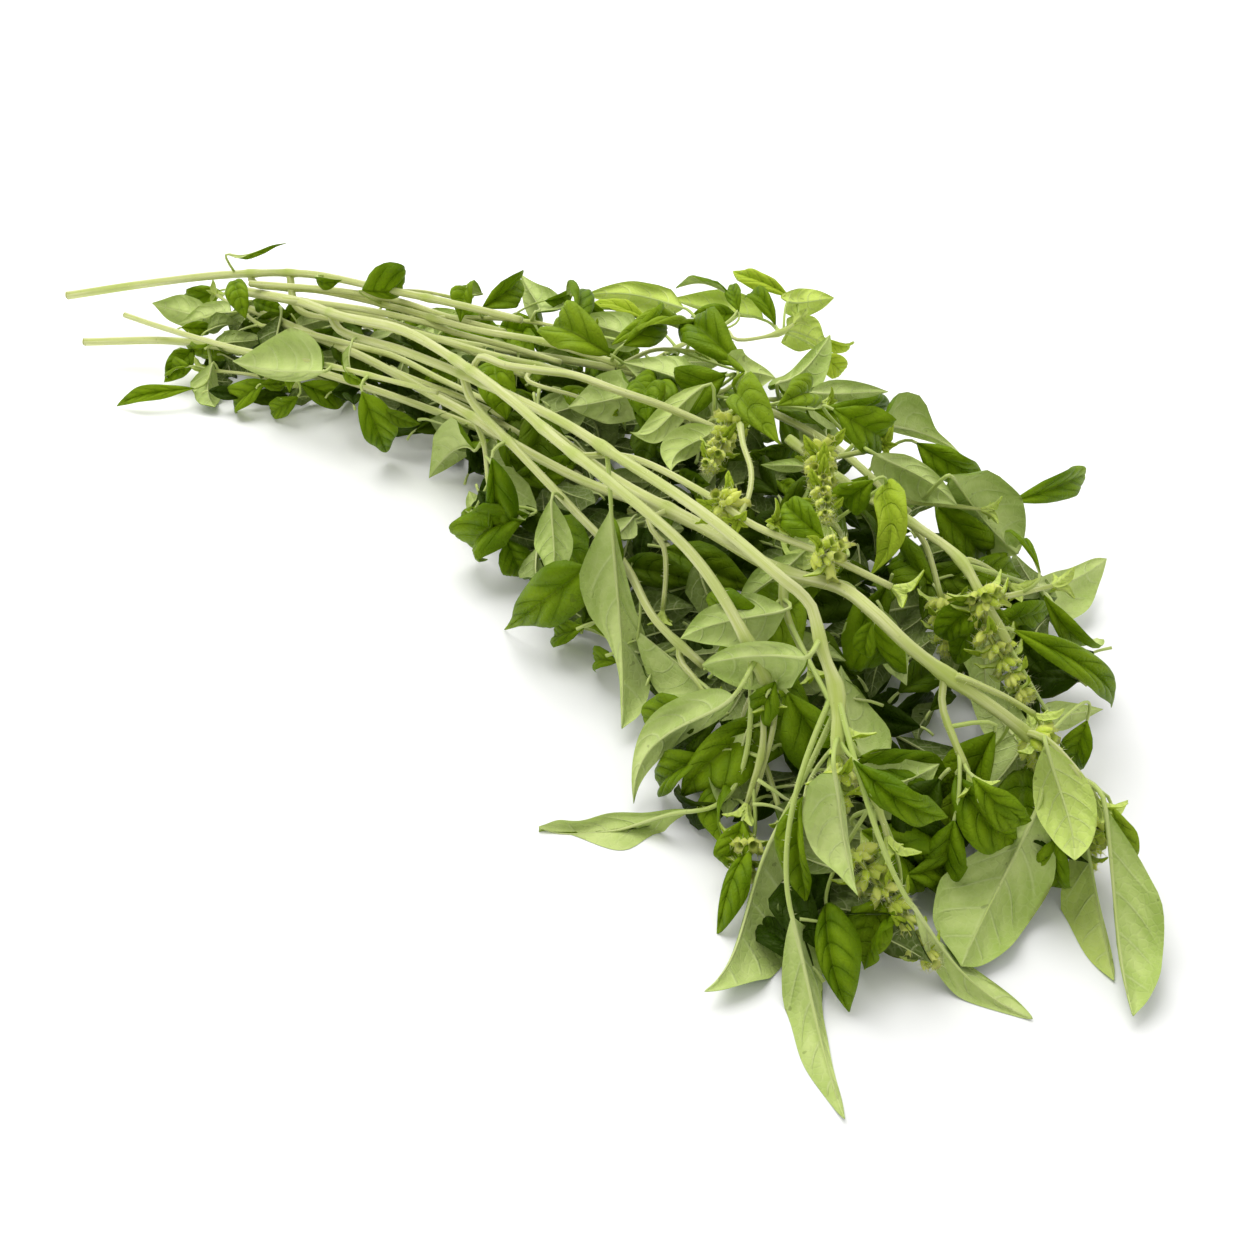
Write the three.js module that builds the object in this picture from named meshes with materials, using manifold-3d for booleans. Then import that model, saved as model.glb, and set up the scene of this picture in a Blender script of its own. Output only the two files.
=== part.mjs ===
// A cut bunch of holy basil lying on its side on a flat surface.
//
// Millimetres, +Z up.  The surface is z = 0, the cut ends point to -X, the
// flowering tips to +X, and the front of the bunch faces -Y.  The origin is on
// the surface, under the middle of the bunch.
//
// The bunch is made of main stems, side shoots that carry several leaves each,
// single large leaves and flower spikes.  Each of these is one closed solid.
// A piece that would run through one placed before it is trimmed to a small gap.

import * as THREE from 'three';
import { mergeVertices } from 'three/addons/utils/BufferGeometryUtils.js';
import Module from 'manifold-3d';

// Driving dimensions.
const GAP = 0.3;
const BLADE_THICKNESS = 1.2;
const PETIOLE_RADIUS = 0.8;
const SHOOT_RADIUS = 1.0;
const SPIKE_WHORL_PITCH = 6;
const SPIKE_WHORL_RADIUS = 4.6;
const SPIKE_WAIST_RADIUS = 2.0;
const STEM_SIDES = 6;
const STEM_STEP = 26;
const LEAF_SIDES = 4;
// Below this height a blade flattens out against the surface instead of
// passing through it.
const SOFT_LANDING = 1.2;

// A point high in front of the bunch.  A leaf's turn is counted from it: at 0
// degrees the upper face of the blade looks towards the point, at 180 degrees
// the pale underside does.
const OPEN_SIDE = new THREE.Vector3(299, -281, 237);

// Share of the full width along the blade, from the petiole to the tip.
const BLADE_OUTLINE = [[0.16, 0.62], [0.42, 1], [0.7, 0.76], [0.9, 0.32]];

const COLOURS = {
  stem: { color: 0xcbd584, roughness: 0.55 },
  leaf: { color: 0x6c9a35, roughness: 0.6 },
  spike: { color: 0x9dbc50, roughness: 0.7 },
};

// Main stems: radius at the cut end, radius at the tip, and the route.
const STEMS = {
  stem_upper_long: [1.68, 1.28, [[-253, -64, 14], [-226, -42, 20.5], [-186, -25, 31], [-143, -13, 40],
    [-96, -9, 46], [-58, -5, 50], [-32, 2, 50]]],
  stem_upper_middle: [1.36, 1.2, [[-172, -21, 31], [-135, -12, 35], [-101, -7, 38], [-48, -6, 44],
    [-14, -3, 49], [14, 4, 48], [33, 18, 42]]],
  stem_upper_low: [1.36, 1.2, [[-144, -19, 28], [-104, -17, 33], [-72, -13, 37], [-35, -10, 40],
    [3, -3, 42], [54, 0, 42]]],
  stem_lower_cut: [1.6, 1.28, [[-212, -78, 10], [-180, -57, 14], [-136, -47, 20], [-94, -39, 22],
    [-46, -30, 22], [16, -26, 24]]],
  stem_thin_cut: [1.2, 0.88, [[-209, -60, 17], [-182, -59, 20], [-125, -55, 27], [-80, -47, 33],
    [-30, -38, 37]]],
  stem_thick_upper: [1.84, 1.36, [[-166, -27, 30], [-128, -27, 37], [-89, -34, 45], [-53, -34, 51],
    [-10, -42, 55], [28, -54, 60], [59, -64, 62], [88, -72, 64], [117, -76, 60], [130, -79, 56],
    [143, -82, 48], [151, -82, 38]]],
  stem_front_tip: [1.6, 1.36, [[-95, -33, 39], [-52, -35, 44], [-23, -38, 48], [6, -42, 52],
    [45, -50, 58], [79, -62, 65], [112, -72, 70], [131, -78, 72], [152, -82, 70], [158, -80, 66],
    [166, -84, 58], [172, -86, 52], [180, -95, 44]]],
  stem_front_branch: [1.36, 1.12, [[-9, -41, 44], [26, -53, 44], [59, -59, 38], [82, -62, 32],
    [101, -69, 26], [119, -69, 20]]],
  stem_side_branch: [1.12, 1.04, [[-2, -42, 60], [12, -42, 62], [24, -38, 63], [34, -35, 64],
    [51, -33, 64], [62, -25, 60], [75, -16, 54]]],
  stem_thin_middle: [0.96, 0.88, [[75, -54, 60], [105, -56, 62], [125, -59, 62], [142, -56, 61],
    [159, -48, 55]]],
  stem_right_back: [1.44, 1.12, [[89, 0, 50], [120, -12, 52], [146, -18, 53], [162, -22, 52],
    [172, -25, 46], [181, -26, 38]]],
  stem_low_middle: [1.76, 1.44, [[-171, -24, 20], [-86, -27, 27], [-42, -32, 30], [-18, -35, 32],
    [10, -40, 34], [46, -43, 36], [70, -45, 40], [92, -46, 43], [112, -48, 44]]],
  stem_right_tip: [1.76, 1.44, [[63, -48, 46], [103, -54, 50], [133, -58, 52], [151, -57, 55],
    [163, -60, 55], [173, -60, 51], [182, -56, 45], [195, -49, 36], [201, -45, 30],
    [215, -41, 18]]],
  stem_back: [1.52, 1.28, [[-130, 2, 18], [-70, 14, 24], [-20, 28, 28], [30, 40, 30], [80, 34, 32],
    [120, 20, 30]]],
  stem_underside: [1.52, 1.28, [[-150, -34, 7], [-80, -14, 7], [0, -8, 8], [70, -24, 9],
    [130, -52, 9], [165, -74, 10]]],
};

// Flower spikes: foot and tip of each.
const SPIKES = {
  flower_spike_crown_left: [[81, -16, 60], [88, -35, 54]],
  flower_spike_crown_right: [[111, -15, 62], [131, -37, 57]],
  flower_spike_right_upper: [[174, -27, 40], [190, -29, 27]],
  flower_spike_right_inner: [[156, -17, 36], [163, -22, 23]],
  flower_spike_front_floor: [[188, -97, 22], [213, -98, 6]],
  flower_spike_right_floor: [[219, -45, 20], [222, -48, 6]],
  flower_bud_front_low: [[163, -101, 12], [167, -108, 6]],
  flower_bud_front_tip: [[182, -97, 44], [186, -102, 37]],
};

// Leaves: foot of the blade, tip, width, turn, fold of each half towards the
// upper face, how far the middle of the blade bows out on that face and, for a
// leaf that bends or is lopsided, how far its middle is pushed sideways.
const LARGE_LEAVES = {
  leaf_left_floor: ['stem_lower_cut', [-147, -67, 8], [-168, -90, 1], 8, 20, 35, 3, 2],
  leaf_left_broad: ['stem_thin_cut', [-76, -53, 34], [-110, -66, 31], 19.5, 180, 10, 4, -9],
  leaf_left_hanging: ['stem_thin_cut', [-57, -50, 32], [-60, -41, 4], 13, 0, 12, 4],
  leaf_front_hanging: ['stem_front_branch', [24, -60, 42], [23, -58, 8], 10.5, 0, 15, 4, -3],
  leaf_front_broad: ['stem_front_branch', [78, -72, 34], [48, -79, 0], 17, 0, 15, 5],
  leaf_front_folded: ['stem_front_tip', [81, -66, 51], [109, -90, 5], 18.5, 180, 45, 6],
  leaf_front_drooping: ['stem_thick_upper', [148, -92, 40], [130, -107, 3], 11, 180, 15, 4, -12],
  leaf_front_level: ['stem_front_tip', [166, -90, 60], [137, -90, 42], 13, 180, 15, 6, 4],
  leaf_front_reaching: ['stem_thick_upper', [147, -103, 10], [116, -125, 1], 19, 150, 25, 1, 16],
  leaf_near_left: ['stem_front_tip', [171, -102, 20], [181, -138, 3], 15.5, 170, 25, 6, 17],
  leaf_near_tip: ['stem_front_tip', [188, -117, 17], [221, -138, 1], 15, 180, 12, 5],
  leaf_near_right: ['stem_front_tip', [207, -101, 22], [234, -91, 0], 7, 170, 20, 6, -3],
  leaf_right_flat: ['stem_right_tip', [211, -58, 22], [217, -93, 3], 23, 180, 10, 4, -2],
  leaf_right_end: ['stem_right_tip', [223, -50, 27], [250, -77, 2], 11, 180, 20, 5, 8],
  leaf_right_arching: ['stem_right_back', [180, -23, 40], [199, 4, 10], 10, -25, 20, 7],
  leaf_right_back: ['stem_right_back', [168, 15, 28], [160, 66, 8], 15.5, 180, 10, 5, -8],
};

// Side shoots: the route of the axis, then its leaves as above.
const SIDE_SHOOTS = {
  side_shoot_left_end: [[[-146, -33, 23], [-165, -32, 24], [-190, -28, 22]], [
    [[-198, -22, 20], [-217, -32, 12], 12, 0, 15, 3],
    [[-166, -32, 36], [-149, -39, 28], 10, 0, 15, 3],
    [[-166, -36, 24], [-190, -46, 16], 12, 160, 40, 3],
    [[-152, -40, 22], [-177, -53, 13], 15, -30, 30, 5],
    [[-168, -36, 22], [-213, -43, 14], 11, 180, 20, 3],
  ]],
  side_shoot_left_floor: [[[-112, -42, 13], [-134, -49, 12], [-154, -57, 10]], [
    [[-150, -56, 14], [-136, -66, 3], 14, 150, 25, 3],
    [[-121, -49, 14], [-136, -58, 0], 13, 20, 25, 3],
    [[-112, -41, 13], [-108, -23, 1], 12, 0, 20, 3],
    [[-107, -46, 11], [-121, -51, 0], 9, 0, 20, 2],
  ]],
  side_shoot_left_back: [[[-100, -6, 42], [-88, 0, 45], [-72, 6, 45]], [
    [[-99, -17, 47], [-95, -2, 43], 15, 0, 20, 5, -7],
    [[-68, 14, 46], [-60, -4, 43], 12, 70, 40, 4],
  ]],
  side_shoot_back_left: [[[-66, 4, 40], [-40, 12, 44], [-16, 18, 45]], [
    [[-37, 13, 48], [-66, 32, 49], 18, 150, 25, 6],
    [[-13, 8, 52], [-34, 28, 53], 13, 40, 25, 5],
    [[9, 19, 50], [-21, 15, 50], 15, 170, 20, 5],
  ]],
  side_shoot_back_tip: [[[-2, 38, 33], [-6, 81, 30], [3, 77, 30], [9, 87, 30], [12, 94, 31], [12, 99, 32]], [
    [[12, 97, 30], [20, 112, 22], 16, 190, 20, 5],
    [[13, 118, 21], [16, 134, 14], 8, 30, 25, 3],
    [[3, 107, 36], [7, 129, 32], 14, 170, 25, 4],
    [[-3, 115, 34], [-31, 113, 38], 9, 20, 25, 4],
    [[-5, 102, 28], [-44, 90, 29], 11, 170, 20, 6, -5],
    [[-25, 78, 34], [-75, 72, 26], 14, 170, 15, 6],
    [[-22, 55, 36], [-47, 41, 35], 10, 60, 30, 4],
  ]],
  side_shoot_back_middle: [[[14, 2, 47], [16, 18, 49], [22, 32, 46]], [
    [[22, -8, 58], [-9, -8, 55], 18, 20, 25, 7],
    [[18, 34, 50], [12, 4, 56], 15, 40, 35, 6, -4],
    [[38, 38, 44], [22, 46, 42], 10, 0, 20, 3],
  ]],
  side_shoot_back_crown: [[[40, 2, 45], [54, 8, 50], [58, 14, 54]], [
    [[52, 18, 57], [20, 33, 54], 17, 10, 20, 6],
    [[52, -5, 57], [21, -2, 53], 16, 170, 20, 6],
    [[65, -2, 63], [46, 2, 50], 17, 0, 15, 5],
    [[87, 14, 54], [96, 40, 49], 13, 20, 25, 4],
  ]],
  side_shoot_crown: [[[60, -10, 46], [70, -12, 54], [78, -8, 60]], [
    [[66, -12, 64], [63, -42, 58], 9, 180, 15, 6, 6],
    [[74, -4, 68], [70, 16, 58], 16, 170, 20, 5],
    [[86, 10, 60], [92, -10, 66], 12, 0, 20, 4],
    [[76, -9, 63], [105, -27, 66], 11.5, 0, 12, 6, -3],
    [[79, -21, 58], [75, -36, 48], 10.5, 180, 20, 6, -7],
  ]],
  side_shoot_back_edge: [[[44, 36, 34], [58, 34, 40], [74, 36, 44]], [
    [[71, 32, 46], [73, 68, 34], 17, 150, 25, 5],
    [[60, 30, 48], [52, 66, 49], 18, 160, 30, 5],
    [[50, 44, 30], [40, 78, 0], 20, 0, 20, 6],
  ]],
  side_shoot_right_crown: [[[96, 2, 46], [108, 8, 50], [116, 6, 56]], [
    [[106, 21, 54], [117, 50, 37], 14, 180, 25, 5, 6],
    [[124, -8, 62], [142, 9, 46], 13, 180, 20, 5, -3],
    [[109, -8, 70], [117, 8, 58], 14, 0, 15, 5],
  ]],
  side_shoot_right_back: [[[118, 4, 40], [134, 8, 44], [144, 18, 42]], [
    [[140, 6, 56], [154, 26, 28], 22.5, 180, 20, 6, 2],
    [[132, 14, 40], [144, 32, 18], 15, 0, 20, 5],
    [[143, 37, 36], [146, 80, 29], 10, 10, 20, 5],
  ]],
  side_shoot_right_middle: [[[118, -18, 46], [130, -28, 47], [136, -38, 48]], [
    [[134, -16, 60], [145, -38, 48], 10.5, 30, 30, 5, -13],
    [[142, -54, 64], [126, -50, 66], 10, 0, 20, 2],
    [[131, -41, 50], [110, -30, 47], 15, 180, 20, 4],
  ]],
  side_shoot_right_upper: [[[173, -20, 45], [176, -12, 44], [178, -2, 42]], [
    [[176, -1, 38], [185, 22, 14], 9.5, 30, 25, 5, -2],
    [[178, -10, 50], [164, 3, 46], 8, 30, 40, 4, -3],
    [[171, -21, 40], [167, -26, 24], 10, 20, 20, 3],
  ]],
  side_shoot_right_tip: [[[204, -47, 34], [212, -48, 32], [220, -48, 26]], [
    [[207, -52, 37], [225, -65, 22], 14, 180, 12, 4],
    [[220, -50, 17], [242, -70, 1], 11, 180, 20, 4, -7],
    [[222, -43, 22], [230, -43, 10], 8, 20, 20, 2],
  ]],
  side_shoot_right_low: [[[184, -60, 40], [190, -63, 35], [196, -65, 30]], [
    [[194, -66, 28], [210, -62, 15], 14, 20, 25, 5],
    [[199, -73, 22], [197, -72, 1], 12, 0, 20, 3],
    [[195, -53, 34], [193, -46, 6], 18, 30, 25, 5],
  ]],
  side_shoot_front_tip: [[[178, -92, 42], [188, -92, 36], [194, -93, 28]], [
    [[187, -106, 50], [200, -112, 29], 10, 180, 15, 5, -5],
    [[185, -96, 46], [204, -86, 35], 14, 20, 25, 6],
    [[186, -86, 32], [188, -63, 26], 16, 180, 20, 5],
    [[176, -100, 32], [186, -110, 13], 10, 80, 40, 3],
    [[184, -87, 18], [195, -68, 1], 18, 10, 20, 5],
    [[189, -106, 12], [206, -118, 1], 11, 10, 20, 5, -3],
  ]],
  side_shoot_front_low: [[[151, -84, 35], [156, -90, 27], [158, -97, 16]], [
    [[141, -94, 18], [130, -98, 1], 12, 20, 25, 3],
    [[150, -78, 28], [139, -99, 6], 16, 10, 20, 5, -3],
    [[147, -86, 14], [157, -104, 5], 13, 40, 25, 4],
    [[165, -104, 10], [171, -122, 0], 8, 20, 20, 4, -3],
    [[156, -82, 40], [160, -68, 13], 18, 0, 20, 5],
  ]],
  side_shoot_front_hanging: [[[112, -71, 20], [122, -75, 20], [130, -79, 21]], [
    [[130, -79, 24], [94, -69, 19], 10.5, 180, 30, 5, 6],
    [[126, -82, 18], [112, -83, 1], 12, 30, 20, 3],
    [[84, -67, 8], [62, -71, 2], 9, 70, 30, 3],
  ]],
  side_shoot_front_wavy: [[[-10, -36, 26], [4, -46, 20], [20, -56, 18]], [
    [[-12, -38, 22], [-39, -38, 1], 20, 150, 25, 6],
    [[34, -55, 24], [14, -60, 4], 20, 30, 30, 7],
    [[6, -48, 10], [-9, -49, 0], 8, 20, 20, 2],
  ]],
  side_shoot_centre: [[[-12, -14, 40], [12, -14, 42], [30, -14, 44]], [
    [[44, -20, 56], [22, -26, 46], 18, 180, 15, 5],
    [[-30, -12, 40], [-12, -24, 29], 15, 10, 20, 5],
    [[40, -10, 52], [54, -24, 52], 14, 0, 20, 4],
  ]],
  side_shoot_inner_front: [[[138, -62, 46], [144, -64, 40], [150, -66, 36]], [
    [[150, -48, 48], [157, -36, 25], 18, 20, 20, 5],
    [[175, -78, 30], [151, -52, 26], 20, 180, 20, 5],
    [[134, -66, 44], [119, -64, 34], 15, 0, 20, 4],
    [[131, -46, 36], [127, -68, 26], 20, 0, 20, 6],
  ]],
};

const wasm = await Module();
wasm.setup();

const UP = new THREE.Vector3(0, 0, 1);
const vector = ([x, y, z]) => new THREE.Vector3(x, y, z);

// The facing side at each cross section, carried back from the last one so
// that the skin never twists sharply.
function carriedNormals(sections, facing) {
  const normals = [];
  let carried = facing;
  for (let row = sections.length - 1; row >= 0; row -= 1) {
    const along = sections[row].along;
    carried = carried.clone().addScaledVector(along, -carried.dot(along)).normalize();
    normals[row] = carried;
  }
  return normals;
}

// A closed skin through a list of cross sections, grown all round by a gap and
// shifted towards its facing side.  Each section holds its place on the path,
// the half width, half thickness and edge lift there.
function skin(sections, sides, facing, gap, shift = 0) {
  const outline = sections.map(({ halfWidth }, row) => new THREE.Vector2(halfWidth > 0 ? 1 : 0, row));
  const geometry = new THREE.LatheGeometry(outline, sides);
  const places = geometry.attributes.position;
  const normals = carriedNormals(sections, facing);
  const across = new THREE.Vector3();
  const point = new THREE.Vector3();
  for (let i = 0; i < places.count; i += 1) {
    const row = Math.round(places.getY(i));
    const { place, along, halfWidth, halfThickness, fold } = sections[row];
    const normal = normals[row];
    const side = places.getX(i) * Math.cos(fold);
    const raised = Math.abs(places.getX(i)) * Math.sin(fold);
    const top = places.getZ(i);
    across.crossVectors(along, normal);
    point.copy(place).addScaledVector(across, side * halfWidth);
    point.addScaledVector(normal, top * halfThickness + raised * halfWidth);
    if (point.z < SOFT_LANDING) point.z = SOFT_LANDING * Math.exp(point.z / SOFT_LANDING - 1);
    point.addScaledVector(across, side * gap);
    point.addScaledVector(normal, (top + raised) * gap + shift);
    if (row === 0) point.addScaledVector(along, -gap);
    if (row === sections.length - 1) point.addScaledVector(along, gap);
    places.setXYZ(i, point.x, point.y, point.z);
  }
  return geometry;
}

const section = (curve, t, halfWidth, halfThickness, fold = 0) => ({
  place: curve.getPoint(t),
  along: curve.getTangent(t),
  halfWidth,
  halfThickness,
  fold,
});

const endCap = (curve, t) => section(curve, t, 0, 0);

// Turns a closed geometry into a solid for joining and cutting.
function solidOf(geometry) {
  geometry.deleteAttribute('normal');
  geometry.deleteAttribute('uv');
  const merged = mergeVertices(geometry);
  const corners = merged.index.array;
  const kept = [];
  for (let i = 0; i < corners.length; i += 3) {
    const [a, b, c] = corners.subarray(i, i + 3);
    if (a !== b && b !== c && c !== a) kept.push(a, b, c);
  }
  return new wasm.Manifold(new wasm.Mesh({
    numProp: 3,
    vertProperties: new Float32Array(merged.attributes.position.array),
    triVerts: new Uint32Array(kept),
  }));
}

function routeOf(points) {
  return new THREE.CatmullRomCurve3(points.map(vector), false, 'centripetal');
}

// A round tapering rod along a route.
function rod(points, startRadius, endRadius, gap) {
  const curve = routeOf(points);
  const steps = Math.max(2, Math.round(curve.getLength() / STEM_STEP));
  const sections = [endCap(curve, 0)];
  for (let i = 0; i <= steps; i += 1) {
    const t = curve.getUtoTmapping(i / steps);
    const radius = startRadius + (endRadius - startRadius) * (i / steps);
    sections.push(section(curve, t, radius, radius));
  }
  sections.push(endCap(curve, 1));
  return solidOf(skin(sections, STEM_SIDES, UP, gap));
}

// A flower spike: whorls of flowers with waists between them.
function spike([foot, tip], gap) {
  const curve = new THREE.LineCurve3(vector(foot), vector(tip));
  const whorls = Math.max(1, Math.round(curve.getLength() / SPIKE_WHORL_PITCH));
  const sections = [endCap(curve, 0)];
  for (let i = 0; i < whorls; i += 1) {
    const taper = 1 - 0.4 * (i / whorls);
    const waist = SPIKE_WAIST_RADIUS * taper;
    const bulge = SPIKE_WHORL_RADIUS * taper;
    sections.push(section(curve, i / whorls, waist, waist));
    sections.push(section(curve, (i + 0.5) / whorls, bulge, bulge));
  }
  sections.push(endCap(curve, 1));
  return solidOf(skin(sections, STEM_SIDES, UP, gap));
}

// The upper side of a blade, square to the line from its foot to its tip.
function upperSide(foot, tip, turn) {
  const axis = tip.clone().sub(foot).normalize();
  const outward = OPEN_SIDE.clone().sub(foot.clone().lerp(tip, 0.5));
  outward.addScaledVector(axis, -outward.dot(axis)).normalize();
  return outward.applyAxisAngle(axis, THREE.MathUtils.degToRad(turn));
}

// The place where a petiole leaves its stem: the point of the stem nearest to
// the foot of the blade, moved back a little towards the stem's cut end.
function petioleOrigin(stem, foot) {
  const points = stem.getSpacedPoints(80);
  let nearest = 0;
  points.forEach((point, i) => {
    if (point.distanceTo(foot) < points[nearest].distanceTo(foot)) nearest = i;
  });
  const stepLength = stem.getLength() / 80;
  const back = 0.4 * points[nearest].distanceTo(foot) / stepLength;
  return points[Math.max(0, Math.round(nearest - back))];
}

// A leaf: a thin petiole from the stem, then a folded and bowed blade.
function leaf(stem, [footPlace, tipPlace, width, turn, fold, bow, bend = 0], gap) {
  const foot = vector(footPlace);
  const tip = vector(tipPlace);
  const upper = upperSide(foot, tip, turn);
  const across = tip.clone().sub(foot).normalize().cross(upper);
  const crown = foot.clone().lerp(tip, 0.5).addScaledVector(upper, 2 * bow);
  crown.addScaledVector(across, bend);
  const blade = new THREE.QuadraticBezierCurve3(foot, crown, tip);
  const origin = petioleOrigin(stem, foot);
  const lead = crown.clone().sub(foot).normalize().multiplyScalar(-0.4 * origin.distanceTo(foot));
  const petiole = new THREE.QuadraticBezierCurve3(origin, foot.clone().add(lead), foot);
  const angle = THREE.MathUtils.degToRad(fold);
  const thin = PETIOLE_RADIUS;
  const sections = [endCap(petiole, 0), section(petiole, 0, thin, thin), section(petiole, 0.5, thin, thin)];
  sections.push(section(blade, 0.02, thin, thin));
  BLADE_OUTLINE.forEach(([t, share]) => {
    sections.push(section(blade, t, share * width / 2, BLADE_THICKNESS / 2, angle));
  });
  sections.push(endCap(blade, 1));
  const solid = solidOf(skin(sections, LEAF_SIDES, upper, gap));
  if (gap === 0) return solid;
  // A thin folded blade grows on both faces by joining two shifted copies.
  const above = solidOf(skin(sections, LEAF_SIDES, upper, gap, gap));
  const below = solidOf(skin(sections, LEAF_SIDES, upper, gap, -gap));
  return solid.add(above).add(below);
}

// A side shoot: its axis and all its leaves in one solid.
function sideShoot([points, leaves], gap) {
  const axis = routeOf(points);
  let solid = rod(points, SHOOT_RADIUS, SHOOT_RADIUS, gap);
  leaves.forEach((row) => {
    solid = solid.add(leaf(axis, row, gap));
  });
  return solid;
}

function largestBody(solid) {
  return solid.decompose().reduce((a, b) => (b.volume() > a.volume() ? b : a));
}

function boxesMeet(a, b) {
  return [0, 1, 2].every((k) => a.min[k] <= b.max[k] && b.min[k] <= a.max[k]);
}

const bunch = new THREE.Group();
const placed = [];

// Adds one piece to the bunch, trimmed clear of the pieces placed before it.
function place(name, look, build) {
  const whole = build(0);
  let solid = whole;
  placed.forEach((other) => {
    if (boxesMeet(whole.boundingBox(), other.boundingBox())) solid = solid.subtract(other);
  });
  solid = largestBody(solid);
  placed.push(build(GAP));
  const { vertProperties, triVerts } = solid.getMesh();
  const geometry = new THREE.BufferGeometry();
  geometry.setAttribute('position', new THREE.BufferAttribute(vertProperties, 3));
  geometry.setIndex(new THREE.BufferAttribute(triVerts, 1));
  geometry.computeVertexNormals();
  const mesh = new THREE.Mesh(geometry, new THREE.MeshStandardMaterial({ ...look, metalness: 0 }));
  mesh.name = name;
  bunch.add(mesh);
}

Object.entries(STEMS).forEach(([name, [startRadius, endRadius, points]]) => {
  place(name, COLOURS.stem, (gap) => rod(points, startRadius, endRadius, gap));
});
Object.entries(SPIKES).forEach(([name, ends]) => {
  place(name, COLOURS.spike, (gap) => spike(ends, gap));
});
Object.entries(LARGE_LEAVES).forEach(([name, [stem, ...row]]) => {
  place(name, COLOURS.leaf, (gap) => leaf(routeOf(STEMS[stem][2]), row, gap));
});
Object.entries(SIDE_SHOOTS).forEach(([name, shoot]) => {
  place(name, COLOURS.leaf, (gap) => sideShoot(shoot, gap));
});

export default bunch;
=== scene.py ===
"""A cut bunch of holy basil lying on a pale floor.

The tables give the main stems, flower spikes and measured leaves in millimetres, in the
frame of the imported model: the floor is z = 0, the cut ends point to -X and the tips to +X.
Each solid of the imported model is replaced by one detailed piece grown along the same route.
"""

import math
import random

import bpy
import numpy as np
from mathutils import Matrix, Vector
from mathutils.bvhtree import BVHTree


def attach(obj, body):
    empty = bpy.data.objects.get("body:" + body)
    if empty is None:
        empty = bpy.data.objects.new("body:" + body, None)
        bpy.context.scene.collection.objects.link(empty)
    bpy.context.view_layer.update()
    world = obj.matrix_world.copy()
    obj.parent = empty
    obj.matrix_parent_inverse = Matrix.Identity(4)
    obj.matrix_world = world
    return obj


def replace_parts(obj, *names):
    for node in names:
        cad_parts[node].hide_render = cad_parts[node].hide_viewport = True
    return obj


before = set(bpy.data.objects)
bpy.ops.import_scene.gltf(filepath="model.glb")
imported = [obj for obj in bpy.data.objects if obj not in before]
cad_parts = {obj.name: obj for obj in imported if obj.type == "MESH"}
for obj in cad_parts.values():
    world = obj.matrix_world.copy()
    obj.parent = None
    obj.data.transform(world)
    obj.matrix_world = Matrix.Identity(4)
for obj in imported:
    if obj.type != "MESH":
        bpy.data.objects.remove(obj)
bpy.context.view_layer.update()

MM = 0.001
UP = np.array([0.0, 0.0, 1.0])
FULL_TURN = 2 * math.pi

# A place high in front of the bunch.  A leaf's turn is counted from it: at 0 degrees the
# upper face of the blade looks towards it, at 180 degrees the pale underside does.
OPEN_SIDE = np.array([299.0, -281.0, 237.0])

# Below this height a blade flattens out against the floor instead of passing through it.
SOFT_LANDING = 1.2

# Curves: steps between two given places, and places along a finished route.
ROUTE_STEPS = 24
ROUTE_PLACES = 81

# Blades and petioles.
BLADE_THICKNESS = 0.34
BLADE_EDGE_THICKNESS = 0.2
MIDRIB_PLACES = 49
VEINS_PER_HALF = 5
VEIN_SWEEP = 0.46
QUILT_HEIGHT = 0.115
LAST_ROW = 0.985
LEAST_HALF_WIDTH = 0.35
EXTRA_FOLD = 8
MARGIN_STEP = 0.15
PETIOLE_RADIUS = 0.66
PETIOLE_STEP = 2.2

# How finely a blade is divided: a large leaf, one of a side shoot, a loose one, a small one.
FINE_LARGE = 1.5
FINE_SHOOT = 1.0
FINE_LOOSE = 0.8
FINE_SMALL = 0.5

# Stems, shoots, twigs and their hairs.
STEM_SIDES = 16
STEM_RIDGE = 0.09
RIDGES = 4
STEM_STEP = 2.6
NODE_SPREAD = 3.2
NODE_SWELL = 0.22
SHOOT_RADIUS = 0.8
INNER_STEM_RADII = (1.3, 1.05)
TWIG_RADII = (0.8, 0.6)
FLOW_SCALE = 40
HAIR_RADIUS = 0.075
HAIR_CORNERS = 3
STEM_HAIR = 0.8
PETIOLE_HAIR = 0.7
SPIKE_HAIR = 0.9
CALYX_HAIR = 1.7

# A shoot begins on the nearest stem if that is within reach, and a stem swells where the
# first place of another route comes near.
STEM_IN_REACH = 16
ROUTE_IS_NEAR = 9

# Flower spikes.
CALYX_LENGTH = 4.5
CALYX_RADIUS = 1.15
CALYX_SIDES = 8
CALYX_HAIRS = 14
LIP_RING = 5
WHORL_PITCH = 4.1
WHORL_FLOWERS = 9
SPIKE_PLACES = 14
SPIKE_RADII = (0.85, 0.4)
SPIKE_WHORL_RADIUS = 1.5
STEM_WHORL_RADIUS = 2.4
TIP_FLOWERS = 9
TIP_BUDS = 6

# The rings of a calyx: how far along its length each lies, how wide it is and how deep inside,
# # which sets the painted shade at its foot and down inside the bell.
OPEN_CALYX = [
    [0.0, 0.14, 0.34, 0.6, 0.84, 1.0, 0.82, 0.5],
    [0.22, 0.62, 0.95, 1.0, 0.86, 1.06, 0.72, 0.45],
    [0.3, 0.2, 0.1, 0.0, 0.0, 0.0, 0.8, 1.0],
]
CLOSED_CALYX = [
    [0.0, 0.14, 0.34, 0.6, 0.84, 0.97, 0.98, 0.99],
    [0.25, 0.6, 0.9, 0.92, 0.6, 0.22, 0.15, 0.1],
    [0.0] * 8,
]

# The direction from which places round a shoot are counted.
ROUND_FROM = [0.3, 0.2, 0.9]

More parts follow.
